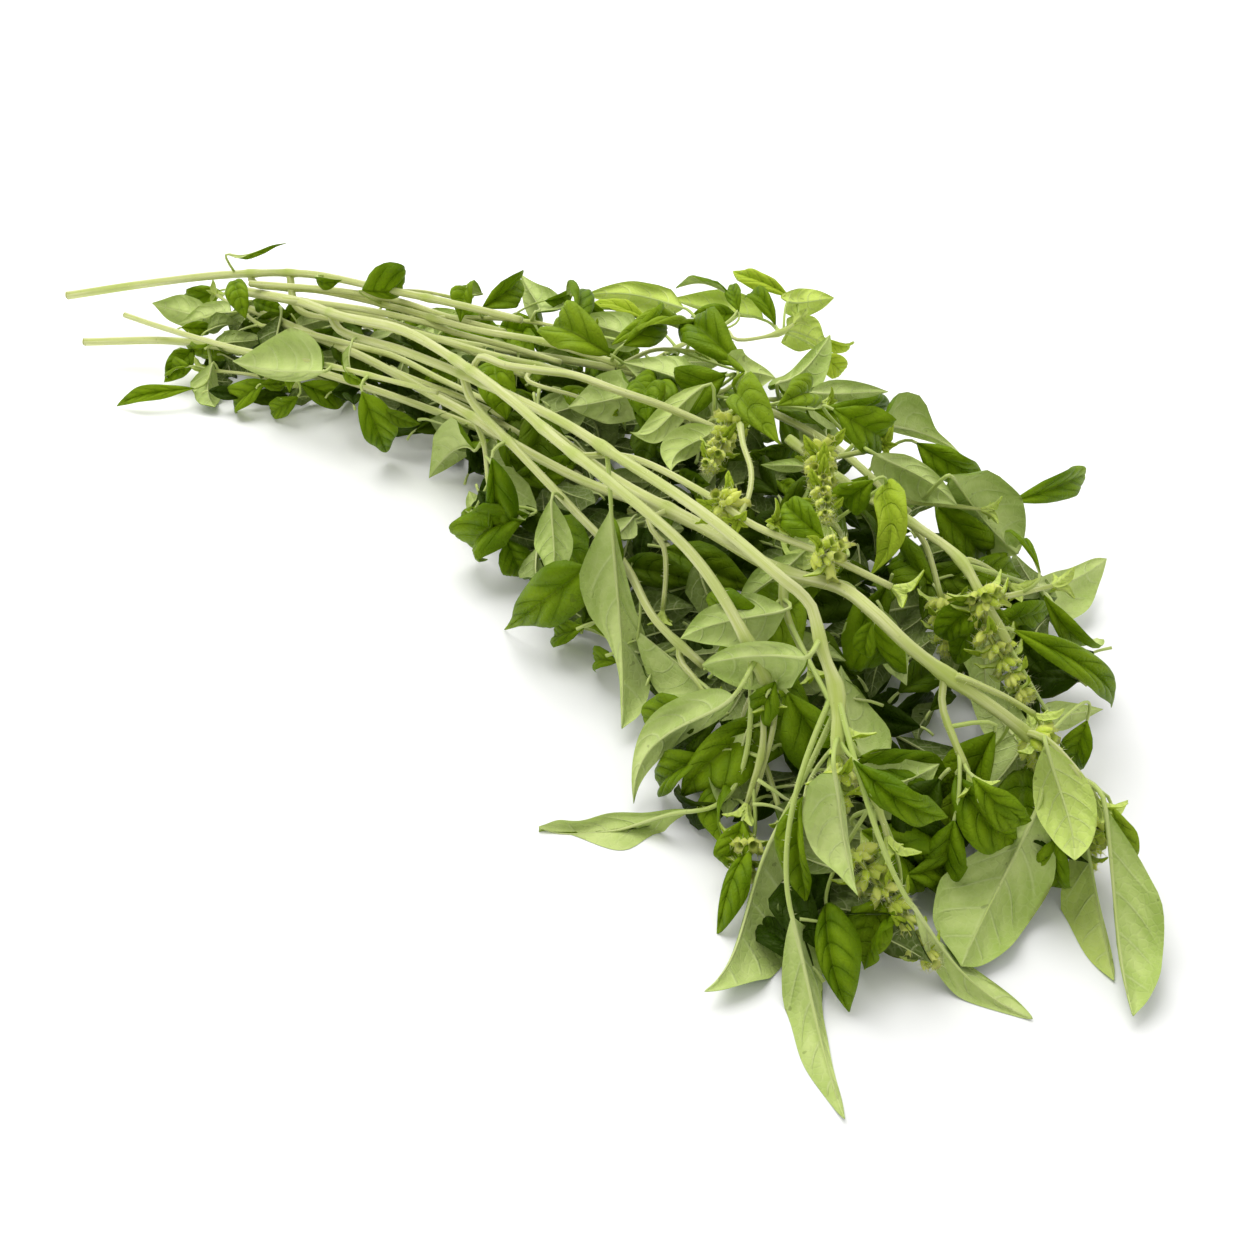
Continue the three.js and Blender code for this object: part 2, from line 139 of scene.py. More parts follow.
# Seeded leaves: how many at most, how many tries and how much room each has, first for those
# that hide the floor and then for those in the heap.  The tries run out first.
LOW_LEAVES = 330
LOW_TRIES = 12000
LOW_ROOM = 2.2
FILL_LEAVES = 380
FILL_TRIES = 20000
FILL_ROOM = 4.2
FILL_PIECES = 12

# The lowest foot and tip of a seeded leaf, the height above which a place of it that is in
# sight counts as two, and how far from a place the look towards the open side begins.
LOWEST_FOOT = 3.0
LOWEST_TIP = 0.3
FILL_IN_SIGHT = 26.0
SIGHT_GAP = 0.8

# The bare cut ends of the bunch, below this x, get no seeded leaves.
FILL_FROM = -172

# The outline of the bunch: the size of a cell, and by how many cells its gaps are closed
# and its edge is set back.
CELL = 3.0
CLOSING = 4
SETBACK = 2
SAMPLE_STEPS = 7

# Light, floor and camera, in metres, watts, millimetres of film and degrees.
WORLD_LIGHT = 0.72
TOP_LIGHT_PLACE = (-0.5, 0.1, 1.2)
TOP_LIGHT_SIZE = 1.2
TOP_LIGHT_POWER = 17.0
FLOOR_REACH = 6.0
FILM_WIDTH = 36.0
LENS = 38.59
CAMERA_TILT = 54.0
CAMERA_TURN = 45.0

# The small differences between leaves: the least and the most of each, in the order in which
# they are drawn for a leaf.
HABITS = {
    "hook": (-0.08, 0.08),
    "twist": (-38, 38),
    "droop": (-0.02, 0.16),
    "wave": (0.12, 0.34),
    "waves": (1.1, 2.6),
    "phase_left": (0, 1),
    "phase_right": (0, 1),
    "lean": (-0.4, 0.4),
    "base": (0.8, 1.1),
    "point": (1.0, 1.3),
    "arch": (0.1, 0.4),
    "curl": (0.05, 0.5),
    "quilt": (0.9, 1.4),
    "trait": (0, 1),
}

# Main stems: radius at the cut end, radius at the tip, and the route.
STEMS = {
    "stem_upper_long": (1.68, 1.28, [[-253, -64, 14], [-226, -42, 20.5], [-186, -25, 31],
        [-143, -13, 40], [-96, -9, 46], [-58, -5, 50], [-32, 2, 50]]),
    "stem_upper_middle": (1.36, 1.2, [[-172, -21, 31], [-135, -12, 35], [-101, -7, 38],
        [-48, -6, 44], [-14, -3, 49], [14, 4, 48], [33, 18, 42]]),
    "stem_upper_low": (1.36, 1.2, [[-144, -19, 28], [-104, -17, 33], [-72, -13, 37], [-35, -10, 40],
        [3, -3, 42], [54, 0, 42]]),
    "stem_lower_cut": (1.6, 1.28, [[-212, -78, 10], [-180, -57, 14], [-136, -47, 20],
        [-94, -39, 22], [-46, -30, 22], [16, -26, 24]]),
    "stem_thin_cut": (1.2, 0.88, [[-209, -60, 17], [-182, -59, 20], [-125, -55, 27], [-80, -47, 33],
        [-30, -38, 37]]),
    "stem_thick_upper": (1.84, 1.36, [[-166, -27, 30], [-128, -27, 37], [-89, -34, 45],
        [-53, -34, 51], [-10, -42, 55], [28, -54, 60], [59, -64, 62], [88, -72, 64], [117, -76, 60],
        [130, -79, 56], [143, -82, 48], [151, -82, 38]]),
    "stem_front_tip": (1.6, 1.36, [[-95, -33, 39], [-52, -35, 44], [-23, -38, 48], [6, -42, 52],
        [45, -50, 58], [79, -62, 65], [112, -72, 70], [131, -78, 72], [152, -82, 70],
        [158, -80, 66], [166, -84, 58], [172, -86, 52], [180, -95, 44]]),
    "stem_front_branch": (1.36, 1.12, [[-9, -41, 44], [26, -53, 44], [59, -59, 38], [82, -62, 32],
        [101, -69, 26], [119, -69, 20]]),
    "stem_side_branch": (1.12, 1.04, [[-2, -42, 60], [12, -42, 62], [24, -38, 63], [34, -35, 64],
        [51, -33, 64], [62, -25, 60], [75, -16, 54]]),
    "stem_thin_middle": (0.96, 0.88, [[75, -54, 60], [105, -56, 62], [125, -59, 62], [142, -56, 61],
        [159, -48, 55]]),
    "stem_right_back": (1.44, 1.12, [[89, 0, 50], [120, -12, 52], [146, -18, 53], [162, -22, 52],
        [172, -25, 46], [181, -26, 38]]),
    "stem_low_middle": (1.76, 1.44, [[-171, -24, 20], [-86, -27, 27], [-42, -32, 30],
        [-18, -35, 32], [10, -40, 34], [46, -43, 36], [70, -45, 40], [92, -46, 43],
        [112, -48, 44]]),
    "stem_right_tip": (1.76, 1.44, [[63, -48, 46], [103, -54, 50], [133, -58, 52], [151, -57, 55],
        [163, -60, 55], [173, -60, 51], [182, -56, 45], [195, -49, 36], [201, -45, 30],
        [215, -41, 18]]),
    "stem_back": (1.52, 1.28, [[-130, 2, 18], [-70, 14, 24], [-20, 28, 28], [30, 40, 30],
        [80, 34, 32], [120, 20, 30]]),
    "stem_underside": (1.52, 1.28, [[-150, -34, 7], [-80, -14, 7], [0, -8, 8], [70, -24, 9],
        [130, -52, 9], [165, -74, 10]]),
}

# Flower spikes: foot and tip of each.
SPIKES = {
    "flower_spike_crown_left": [[81, -16, 60], [88, -35, 54]],
    "flower_spike_crown_right": [[111, -15, 62], [131, -37, 57]],
    "flower_spike_right_upper": [[174, -27, 40], [190, -29, 27]],
    "flower_spike_right_inner": [[156, -17, 36], [163, -22, 23]],
    "flower_spike_front_floor": [[188, -97, 22], [213, -98, 6]],
    "flower_spike_right_floor": [[219, -45, 20], [222, -48, 6]],
    "flower_bud_front_low": [[163, -101, 12], [167, -108, 6]],
    "flower_bud_front_tip": [[182, -97, 44], [186, -102, 37]],
}

# Leaves, each with the stem that it grows from.  A leaf's row holds the foot of the blade,
# its tip, its width, its turn, the fold of each half towards the upper face and how far the
# middle bows out on that face, and then what else is known of its shape.  Left and right are
# the halves of the blade seen on its upper face from the foot to the tip: their share of the
# width, the angle at which they fold, and their width at every MARGIN_STEP of the length.
LARGE_LEAVES = {
    "leaf_left_floor": ("stem_lower_cut",
        (-147, -67, 8, -168, -90, 1, 14, 20, 35, 3, dict(left=0.55, right=0.6, twist=0,
            hook=0.05))),
    "leaf_left_broad": ("stem_thin_cut",
        (-76, -53, 34, -110, -66, 31, 19, 180, 10, 4, dict(left=1.65, right=0.4, twist=0))),
    "leaf_left_hanging": ("stem_thin_cut",
        (-57, -50, 32, -60, -41, 4, 15, 0, 12, 4, dict(twist=0, hook=0,
            left_margin=[0.75, 0.98, 0.98, 0.8, 0.55, 0.3],
            right_margin=[0.5, 0.7, 0.75, 0.6, 0.4, 0.25]))),
    "leaf_front_hanging": ("stem_front_branch",
        (24, -60, 42, 23, -58, 8, 15, 0, 15, 4, dict(right=0.5, fold_right=40, twist=0))),
    "leaf_front_broad": ("stem_front_branch",
        (78, -72, 34, 48, -79, 0, 24, 0, 15, 5, dict(fold_left=12, fold_right=12, twist=0, hook=0,
            left_margin=[0.68, 0.72, 0.65, 0.42, 0.16, 0.05],
            right_margin=[0.6, 0.63, 0.54, 0.36, 0.15, 0.04]))),
    "leaf_front_folded": ("stem_front_tip",
        (81, -66, 51, 109, -90, 5, 22, 180, 45, 6, dict(hook=0.03, fold_left=15, fold_right=35,
            twist=0, left_margin=[0.57, 0.95, 0.8, 0.33, 0.1, 0.05],
            right_margin=[0.16, 0.32, 0.48, 0.75, 0.8, 0.55]))),
    "leaf_front_drooping": ("stem_thick_upper",
        (148, -92, 40, 130, -107, 3, 22, 180, 15, 4, dict(left=0.72, right=0.58, fold_left=40,
            fold_right=50, hook=-0.24, twist=0))),
    "leaf_front_level": ("stem_front_tip",
        (166, -90, 60, 137, -90, 42, 21, 180, 15, 6, dict(left=0.35, right=0.9, base=1.2,
            point=0.8))),
    "leaf_front_reaching": ("stem_thick_upper",
        (147, -103, 10, 116, -125, 1, 20, 150, 25, 1, dict(fold_left=25, fold_right=5, hook=0.24,
            twist=0, left_margin=[0.1, 0.2, 0.34, 0.48, 0.52, 0.4],
            right_margin=[0.2, 0.55, 1, 1.3, 1.3, 0.85]))),
    "leaf_near_left": ("stem_front_tip",
        (171, -102, 20, 181, -138, 3, 22, 170, 25, 6, dict(left=0.12, right=1.3, fold_left=80,
            fold_right=8, hook=0.15))),
    "leaf_near_tip": ("stem_front_tip",
        (188, -117, 16, 221, -139, 0, 18, 180, 15, 6, dict(left=0.82, fold_left=30, point=1.1,
            fold_right=60, hook=-0.03, right_margin=[1.2, 0.8, 0.35, 0.25, 0.15, 0.1]))),
    "leaf_near_right": ("stem_front_tip",
        (207, -101, 22, 234, -91, 0, 19, 170, 20, 6, dict(left=0.5, right=0.6, fold_left=20,
            fold_right=75, base=1.3, point=0.8, hook=-0.1))),
    "leaf_right_flat": ("stem_right_tip",
        (211, -58, 22, 217, -93, 3, 22, 180, 10, 4, dict(
            left_margin=[0.35, 0.7, 1, 1.15, 0.95, 0.5],
            right_margin=[0.75, 0.95, 0.95, 0.85, 0.7, 0.4]))),
    "leaf_right_end": ("stem_right_tip",
        (223, -50, 27, 250, -77, 2, 18, 180, 20, 5, dict(left=0.12, fold_left=85, fold_right=5,
            right_margin=[0.42, 0.8, 1.06, 1.12, 0.92, 0.52]))),
    "leaf_right_arching": ("stem_right_back",
        (180, -23, 40, 199, 4, 10, 15, -25, 20, 7, dict(right=0.75, left=0.6, twist=0,
            hook=-0.05))),
    "leaf_right_back": ("stem_right_back",
        (168, 15, 28, 160, 66, 8, 18, 180, 10, 5, dict(twist=0, hook=-0.05,
            left_margin=[0.5, 0.95, 1.2, 1.2, 0.9, 0.5],
            right_margin=[0.25, 0.4, 0.5, 0.5, 0.4, 0.3]))),
}

# A tone below -0.1 blends a leaf towards the painted shade colour of the leaf materials.
# Side shoots: the route of the axis, then its leaves.
SIDE_SHOOTS = {
    "side_shoot_left_end": ([[-146, -33, 23], [-165, -32, 24], [-190, -28, 22]], [
        (-198, -22, 20, -217, -32, 12, 12, 0, 15, 3), (-166, -32, 36, -149, -39, 28, 10, 0, 15, 3),
        (-166, -36, 24, -190, -46, 16, 12, 160, 40, 3),
        (-152, -40, 22, -177, -53, 13, 15, -30, 30, 5),
        (-168, -36, 22, -213, -43, 14, 11, 180, 20, 3),
    ]),
    "side_shoot_left_floor": ([[-112, -42, 13], [-134, -49, 12], [-154, -57, 10]], [
        (-150, -56, 14, -136, -66, 3, 14, 150, 25, 3), (-121, -49, 14, -136, -58, 0, 13, 20, 25, 3),
        (-112, -41, 13, -108, -23, 1, 12, 0, 20, 3), (-107, -46, 11, -121, -51, 0, 9, 0, 20, 2),
    ]),
    "side_shoot_left_back": ([[-100, -6, 42], [-88, 0, 45], [-72, 6, 45]], [
        (-99, -17, 47, -95, -2, 43, 12, 0, 20, 5, dict(tone=0.1, left=2, right=0.5, twist=0)),
        (-68, 14, 46, -60, -4, 43, 12, 70, 40, 4),
    ]),
    "side_shoot_back_left": ([[-66, 4, 40], [-40, 12, 44], [-16, 18, 45]], [
        (-37, 13, 48, -66, 32, 49, 18, 150, 25, 6),
        (-13, 8, 52, -34, 28, 53, 13, 40, 25, 5, dict(tone=-0.2)),
        (9, 19, 50, -21, 15, 50, 15, 170, 20, 5),
    ]),
    "side_shoot_back_tip": ([[-2, 38, 33], [-6, 81, 30], [3, 77, 30], [9, 87, 30], [12, 94, 31],
        [12, 99, 32]], [
        (12, 97, 30, 20, 112, 22, 16, 190, 20, 5), (3, 107, 36, 7, 129, 32, 14, 170, 25, 4),
        (-3, 115, 34, -31, 113, 38, 13, 20, 25, 4, dict(left=0.75, right=0.62, twist=0)),
        (-5, 102, 28, -44, 90, 29, 20, 170, 20, 6, dict(left=0.9, right=0.2, twist=0)),
        (-25, 78, 34, -75, 72, 26, 17, 170, 15, 6, dict(twist=0, left=0.72, right=0.9)),
        (-22, 55, 36, -47, 41, 35, 10, 60, 30, 4), (13, 118, 21, 16, 134, 14, 8, 30, 25, 3),
        (22, 105, 22, 27, 113, 12, 10, 0, 15, 3),
    ]),
    "side_shoot_back_middle": ([[14, 2, 47], [16, 18, 49], [22, 32, 46]], [
        (22, -8, 58, -9, -8, 55, 18, 20, 25, 7),
        (18, 34, 50, 12, 4, 56, 20, 40, 35, 6, dict(right=0.5)),
        (38, 38, 44, 22, 46, 42, 10, 0, 20, 3),
    ]),
    "side_shoot_back_crown": ([[40, 2, 45], [54, 8, 50], [58, 14, 54]], [
        (52, 18, 57, 20, 33, 54, 17, 10, 20, 6), (52, -5, 57, 21, -2, 53, 16, 170, 20, 6),
        (65, -2, 63, 46, 2, 50, 17, 0, 15, 5), (87, 14, 54, 96, 40, 49, 13, 20, 25, 4),
    ]),
    "side_shoot_crown": ([[60, -10, 46], [70, -12, 54], [78, -8, 60]], [
        (66, -12, 64, 63, -42, 58, 14, 180, 15, 6, dict(hook=0.2, left=0.7, right=0.6)),
        (74, -4, 68, 70, 16, 58, 16, 170, 20, 5), (86, 10, 60, 92, -10, 66, 12, 0, 20, 4),
        (76, -9, 63, 105, -27, 66, 15, 0, 12, 6, dict(hook=0, twist=0, right=0.55)),
        (79, -21, 58, 75, -36, 48, 17, 180, 20, 6, dict(hook=-0.25, right=0.45, left=0.8)),
    ]),
    "side_shoot_back_edge": ([[44, 36, 34], [58, 34, 40], [74, 36, 44]], [
        (71, 32, 46, 73, 68, 34, 17, 150, 25, 5), (60, 30, 48, 52, 66, 49, 18, 160, 30, 5),
        (50, 44, 30, 40, 78, 0, 20, 0, 20, 6),
    ]),
    "side_shoot_right_crown": ([[96, 2, 46], [108, 8, 50], [116, 6, 56]], [
        (106, 21, 54, 117, 50, 37, 18, 180, 25, 5, dict(left=0.3, twist=0, fold_right=10,
            right_margin=[0.65, 1.15, 1.2, 0.7, 0.25, 0.1])),
        (124, -8, 62, 142, 9, 46, 14, 180, 20, 5, dict(left=1.25, right=0.6)),
        (109, -8, 70, 117, 8, 58, 14, 0, 15, 5),
    ]),
    "side_shoot_right_back": ([[118, 4, 40], [134, 8, 44], [144, 18, 42]], [
        (140, 6, 56, 154, 26, 28, 20, 180, 20, 6, dict(right=1.25, base=1.2, point=0.7)),
        (132, 14, 40, 144, 32, 18, 15, 0, 20, 5),
        (143, 37, 36, 146, 80, 29, 10, 10, 20, 5, dict(tone=0)),
    ]),
    "side_shoot_right_middle": ([[118, -18, 46], [130, -28, 47], [136, -38, 48]], [
        (134, -16, 60, 145, -38, 48, 13, 30, 30, 5, dict(hook=-0.4, tone=0.75, twist=0,
            right_margin=[0.25, 0.45, 0.6, 0.6, 0.5, 0.3])),
        (142, -54, 64, 126, -50, 66, 10, 0, 20, 2, dict(twist=0, tone=0.1)),
        (131, -41, 50, 110, -30, 47, 15, 180, 20, 4),
    ]),
    "side_shoot_right_upper": ([[173, -20, 45], [176, -12, 44], [178, -2, 42]], [
        (176, -1, 38, 185, 22, 14, 13, 30, 25, 5, dict(right=0.5)),
        (178, -10, 50, 164, 3, 46, 12, 30, 40, 4, dict(right=0.3)),
        (171, -21, 40, 167, -26, 24, 10, 20, 20, 3),
    ]),
    "side_shoot_right_tip": ([[204, -47, 34], [212, -48, 32], [220, -48, 26]], [
        (207, -52, 37, 225, -65, 22, 14, 180, 12, 4),
        (220, -50, 17, 242, -70, 1, 14, 180, 20, 4, dict(left=1.45, fold_right=75,
            right_margin=[0.1, 0.15, 0.2, 0.3, 0.3, 0.2])),
        (222, -43, 22, 230, -43, 10, 8, 20, 20, 2),
    ]),
    "side_shoot_right_low": ([[184, -60, 40], [190, -63, 35], [196, -65, 30]], [
        (194, -66, 28, 210, -62, 15, 14, 20, 25, 5), (199, -73, 22, 197, -72, 1, 12, 0, 20, 3),
        (195, -53, 34, 193, -46, 6, 18, 30, 25, 5),
    ]),
    "side_shoot_front_tip": ([[178, -92, 42], [188, -92, 36], [194, -93, 28]], [
        (187, -106, 50, 200, -112, 29, 17, 180, 15, 5, dict(right=0.35, fold_right=60)),
        (185, -96, 46, 204, -86, 35, 14, 20, 25, 6, dict(left=0.7, right=0.6, tone=0.25)),
        (186, -86, 32, 188, -63, 26, 16, 180, 20, 5),
        (176, -100, 32, 186, -110, 13, 10, 25, 40, 3, dict(left=1.2, right=1.2, tone=-0.3)),
        (184, -87, 18, 195, -68, 1, 18, 10, 20, 5),
        (189, -106, 12, 206, -118, 1, 14, 10, 20, 5, dict(left=1.1, right=0.45)),
    ]),
    "side_shoot_front_low": ([[151, -84, 35], [156, -90, 27], [158, -97, 16]], [
        (141, -94, 18, 130, -98, 1, 12, 20, 25, 3),
        (150, -78, 28, 139, -99, 6, 20, 10, 20, 5, dict(right=0.6)),
        (147, -86, 14, 157, -104, 5, 13, 40, 25, 4),
        (165, -104, 10, 171, -122, 0, 13, 20, 20, 4, dict(left=0.9, right=0.3)),
        (156, -82, 40, 160, -68, 13, 18, 0, 20, 5),
    ]),
    "side_shoot_front_hanging": ([[112, -71, 20], [122, -75, 20], [130, -79, 21]], [
        (130, -79, 24, 94, -69, 19, 19, 180, 30, 5, dict(left=0.3, fold_left=75)),
        (126, -82, 18, 112, -83, 1, 12, 30, 20, 3),
        (84, -67, 8, 62, -71, 2, 9, 70, 30, 3, dict(hook=0)),
    ]),
    "side_shoot_front_wavy": ([[-10, -36, 26], [4, -46, 20], [20, -56, 18]], [
        (-12, -38, 22, -39, -38, 1, 20, 150, 25, 6), (34, -55, 24, 14, -60, 4, 20, 30, 30, 7),
        (6, -48, 10, -9, -49, 0, 8, 20, 20, 2),
    ]),
    "side_shoot_centre": ([[-12, -14, 40], [12, -14, 42], [30, -14, 44]], [
        (44, -20, 56, 22, -26, 46, 18, 180, 15, 5), (-30, -12, 40, -12, -24, 29, 15, 10, 20, 5),
        (40, -10, 52, 54, -24, 52, 14, 0, 20, 4),
    ]),
    "side_shoot_inner_front": ([[138, -62, 46], [144, -64, 40], [150, -66, 36]], [
        (150, -48, 48, 157, -36, 25, 18, 20, 20, 5), (175, -78, 30, 151, -52, 26, 20, 180, 20, 5),
        (134, -66, 44, 119, -64, 34, 15, 0, 20, 4), (131, -46, 36, 127, -68, 26, 20, 0, 20, 6),
    ]),
}

# Thin twigs that carry small leaves.
TWIGS = {
    "twig_front_low": [[151, -81, 40], [155, -85, 32], [158, -93, 20], [159, -98, 12]],
    "twig_front_left": [[146, -85, 26], [152, -85, 20], [166, -94, 16]],
    "twig_front_middle": [[89, -60, 48], [94, -59, 42], [97, -61, 36], [99, -64, 26]],
    "twig_right_tip": [[184, -56, 46], [190, -50, 42], [193, -45, 38], [198, -41, 34]],
    "twig_right_back": [[163, -21, 52], [165, -12, 46], [170, -9, 42]],
    "twig_crown": [[92, -27, 66], [100, -35, 66], [108, -41, 64], [115, -50, 63], [119, -58, 62]],
    "twig_right_inner": [[147, -14, 46], [157, -19, 36]],
}

# Thinner stems inside the bundle, between the main ones.
INNER_STEMS = {
    "inner_stem_upper": [[-132, -31, 38], [-118, -23, 38], [-99, -16, 39], [-75, -8, 39],
        [-60, -4, 38], [-40, 3, 37], [-21, 10, 35]],
    "inner_stem_middle": [[-122, -17, 34], [-89, -9, 34], [-54, -4, 33], [-28, -1, 31]],
    "inner_stem_front": [[-92, -24, 24], [-65, -23, 25], [-41, -20, 25], [-20, -18, 24]],
    "inner_stem_front_low": [[-86, -17, 20], [-66, -18, 20], [-36, -19, 21], [-25, -18, 21],
        [-2, -18, 20]],
    "inner_stem_left": [[-129, -30, 26], [-99, -25, 28], [-78, -21, 29], [-50, -21, 29],
        [-26, -19, 28]],
    "inner_stem_back": [[-159, -29, 36], [-138, -20, 38], [-116, -12, 40], [-93, -5, 41],
        [-72, -2, 41], [-46, 6, 40]],
}

# Smaller leaves that have no solid of their own.
# A tone below -0.1 blends a leaf towards the painted shade colour of the leaf materials.
LOOSE_LEAVES = {
    "loose_leaves_left": [
        (-178, -26, 42, -158, -11, 47, 4, 60, 30, 3, dict(hook=-0.25)),
        (-129, -17, 44, -119, -13, 44, 6, 30, 25, 3), (-76, -40, 40, -64, -44, 30, 8, 100, 40, 3),
        (-160, -61, 11, -172, -65, 2, 9, 60, 25, 2), (4, -52, 12, -8, -45, 11, 8, 170, 20, 2),
        (-182, -40, 18, -207, -47, 19, 15, 170, 15, 3),
        (-170, -53, 12, -170, -68, 3, 11, 10, 20, 2), (30, -61, 16, 33, -58, 2, 12, 0, 15, 2),
        (76, -72, 12, 64, -73, 3, 10, 10, 20, 2),
    ],
    "loose_leaves_front": [
        (57, -66, 44, 71, -80, 30, 11, 180, 8, 3), (92, -75, 10, 81, -73, 2, 8, 30, 20, 2),
        (143, -68, 50, 124, -84, 40, 16, 180, 20, 4), (150, -89, 28, 154, -99, 10, 14, 180, 15, 3),
        (153, -83, 42, 152, -85, 26, 9, 30, 20, 2), (160, -101, 14, 162, -107, 4, 10, 0, 20, 2),
        (196, -85, 11, 197, -68, 2, 12, 10, 20, 3), (200, -96, 12, 202, -108, 3, 14, 20, 30, 3),
        (198, -98, 14, 198, -105, 2, 12, 0, 20, 3), (147, -88, 22, 147, -91, 6, 10, 180, 12, 2),
        (153, -86, 40, 151, -85, 28, 8, 180, 12, 2),
    ],
    "loose_leaves_right": [
        (217, -58, 18, 221, -57, 3, 10, 30, 20, 2), (199, -68, 32, 212, -61, 22, 10, 20, 25, 3),
        (191, -58, 16, 195, -65, 3, 8, 20, 20, 2), (192, -49, 23, 184, -45, 10, 10, 0, 20, 3),
        (171, -24, 46, 164, -28, 31, 10, 0, 20, 3), (161, -57, 50, 161, -58, 40, 7, 30, 20, 2),
        (136, -26, 66, 125, -22, 54, 11, 0, 20, 3),
        (109, -18, 56, 95, -20, 52, 10, 170, 20, 3, dict(left=0.45, right=0.45)),
        (193, -21, 20, 198, 1, 10, 9, 150, 20, 3), (201, -15, 18, 203, -16, 3, 9, 20, 20, 2),
        (109, 38, 42, 127, 51, 30, 13, 10, 20, 3),
    ],
    "loose_leaves_back": [
        (-16, 96, 36, -41, 91, 35, 7, 80, 30, 3, dict(right=0.6, left=1.3, tone=-0.2)),
        (-9, 92, 33, -22, 101, 38, 7, 0, 15, 2), (6, 96, 31, -15, 104, 35, 10, 40, 30, 4),
        (-12, 93, 31, -23, 80, 30, 9, 0, 20, 3), (17, 3, 56, 4, 34, 54, 15, 20, 25, 5),
        (30, 6, 46, 46, -17, 44, 17, 0, 20, 5), (23, -7, 44, 7, -10, 36, 12, 170, 20, 3),
        (-57, 5, 46, -63, 29, 50, 15, 10, 30, 4), (-46, 26, 46, -44, 38, 48, 10, 20, 30, 3),
        (-127, 12, 24, -108, 20, 22, 13, 20, 15, 3), (-113, 18, 24, -92, 24, 22, 14, 170, 15, 3),
        (-91, 19, 26, -73, 29, 24, 14, 0, 15, 3), (-76, 29, 26, -57, 36, 24, 14, 0, 20, 3),
        (-120, 10, 20, -101, 15, 18, 13, 160, 20, 3), (-95, 13, 20, -76, 21, 18, 14, 10, 20, 3),
        (65, 42, 42, 75, 69, 36, 10, 170, 15, 3),
    ],
}

# Stems that branch off another one.
BRANCHES = {
    "stem_front_tip": "stem_thick_upper",
    "stem_front_branch": "stem_front_tip",
    "stem_side_branch": "stem_thick_upper",
    "stem_upper_middle": "stem_upper_long",
    "stem_upper_low": "stem_upper_long",
    "stem_thin_middle": "stem_thick_upper",
    "stem_right_tip": "stem_thick_upper",
}

# Stems whose cut face shows.
CUT_ENDS = ("stem_upper_long", "stem_lower_cut", "stem_thin_cut")

# Closed young leaves at the ends of stems and at their upper nodes: a name, the place, the
# way they point and their size.
STEM_BUDS = {
    "stem_front_tip": [
        ["front tip", [180, -95, 44], [0.3, -0.4, -0.9], 1.2],
        ["front tip whorl", [176, -90, 48], [0.6, -0.1, -0.6], 1.0],
    ],
    "stem_right_tip": [["right tip", [215, -41, 18], [0.5, 0.2, -0.6], 0.9]],
    "stem_thick_upper": [["upper bend", [151, -82, 38], [0.5, -0.4, -0.8], 0.9]],
    "stem_thin_middle": [
        ["middle node", [128, -58, 63], [0.8, 0.1, 0.6], 0.8],
        ["middle tip", [159, -48, 55], [0.9, 0.3, -0.2], 0.9],
    ],
    "stem_side_branch": [["side branch tip", [75, -16, 54], [0.6, 0.5, 0.0], 0.8]],
}

# Rings of calyces round a stem, where a flower spike is only beginning.
STEM_WHORLS = {
    "stem_thin_middle": [[142, -56, 61], [112, -57, 62]],
    "stem_right_tip": [[201, -45, 30]],
    "stem_right_back": [[172, -25, 46]],
}

# Young shoots, by how bright and yellow they are; the others have 0.3.
SHOOT_TONES = {
    "side_shoot_back_tip": 0.95,
    "side_shoot_right_tip": 0.6,
    "side_shoot_right_middle": 0.6,
    "side_shoot_back_middle": 0.45,
    "side_shoot_crown": 0.45,
}

# Places on the floor that stay in sight through the bunch: the middle and the radius.
OPEN_PLACES = [
    [-53, 127, 14], [-25, 136, 26], [-5, 108, 13], [169, -18, 8], [96, -69, 5], [158, -87, 7],
    [210, -112, 16], [220, -58, 14], [112, -86, 8], [122, -103, 12], [202, -78, 8], [241, -78, 12],
    [157, -112, 14], [197, -3, 8], [227, -80, 18], [-57, -32, 14], [184, -124, 8],
]

# Places that seeded leaves are taken away from again: the middle and the radius.
CLEARED_PLACES = [[-97, -54, 31, 7], [110, 45, 5, 7]]

# ---------------------------------------------------------------- lines and directions

def unit(way):
    return way / max(1e-9, float(np.linalg.norm(way)))


def norms(vectors):
    """The length of each vector."""
    return np.linalg.norm(vectors, axis=-1)


def steps_of(points):
    """The length of each step along the points."""
    return norms(np.diff(points, axis=0))


def way_gone(points):
    """How far along the points each of them lies."""
    return np.concatenate([[0.0], np.cumsum(steps_of(points))])


def smooth(values, start, end):
    """0 before start, 1 after end, and an even S between them."""
    share = np.clip((values - start) / (end - start), 0.0, 1.0)
    return share * share * (3 - 2 * share)


def land(points):
    """Flattens whatever would pass through the floor."""
    height = points[..., 2]
    flat = SOFT_LANDING * np.exp(np.minimum(height, SOFT_LANDING) / SOFT_LANDING - 1)
    points[..., 2] = np.where(height < SOFT_LANDING, flat, height)
    return points


def turned(vectors, axis, angles):
    """Each vector turned about its axis by its angle."""
    cosine = np.cos(angles)[..., None]
    sine = np.sin(angles)[..., None]
    along = (vectors * axis).sum(-1)[..., None]
    return vectors * cosine + np.cross(axis, vectors) * sine + axis * along * (1 - cosine)


def evenly(points, count):
    """The polyline through the points as `count` evenly spaced points."""
    along = way_gone(points)
    wanted = np.linspace(0, along[-1], count)
    return np.stack([np.interp(wanted, along, points[:, k]) for k in range(3)], axis=1)


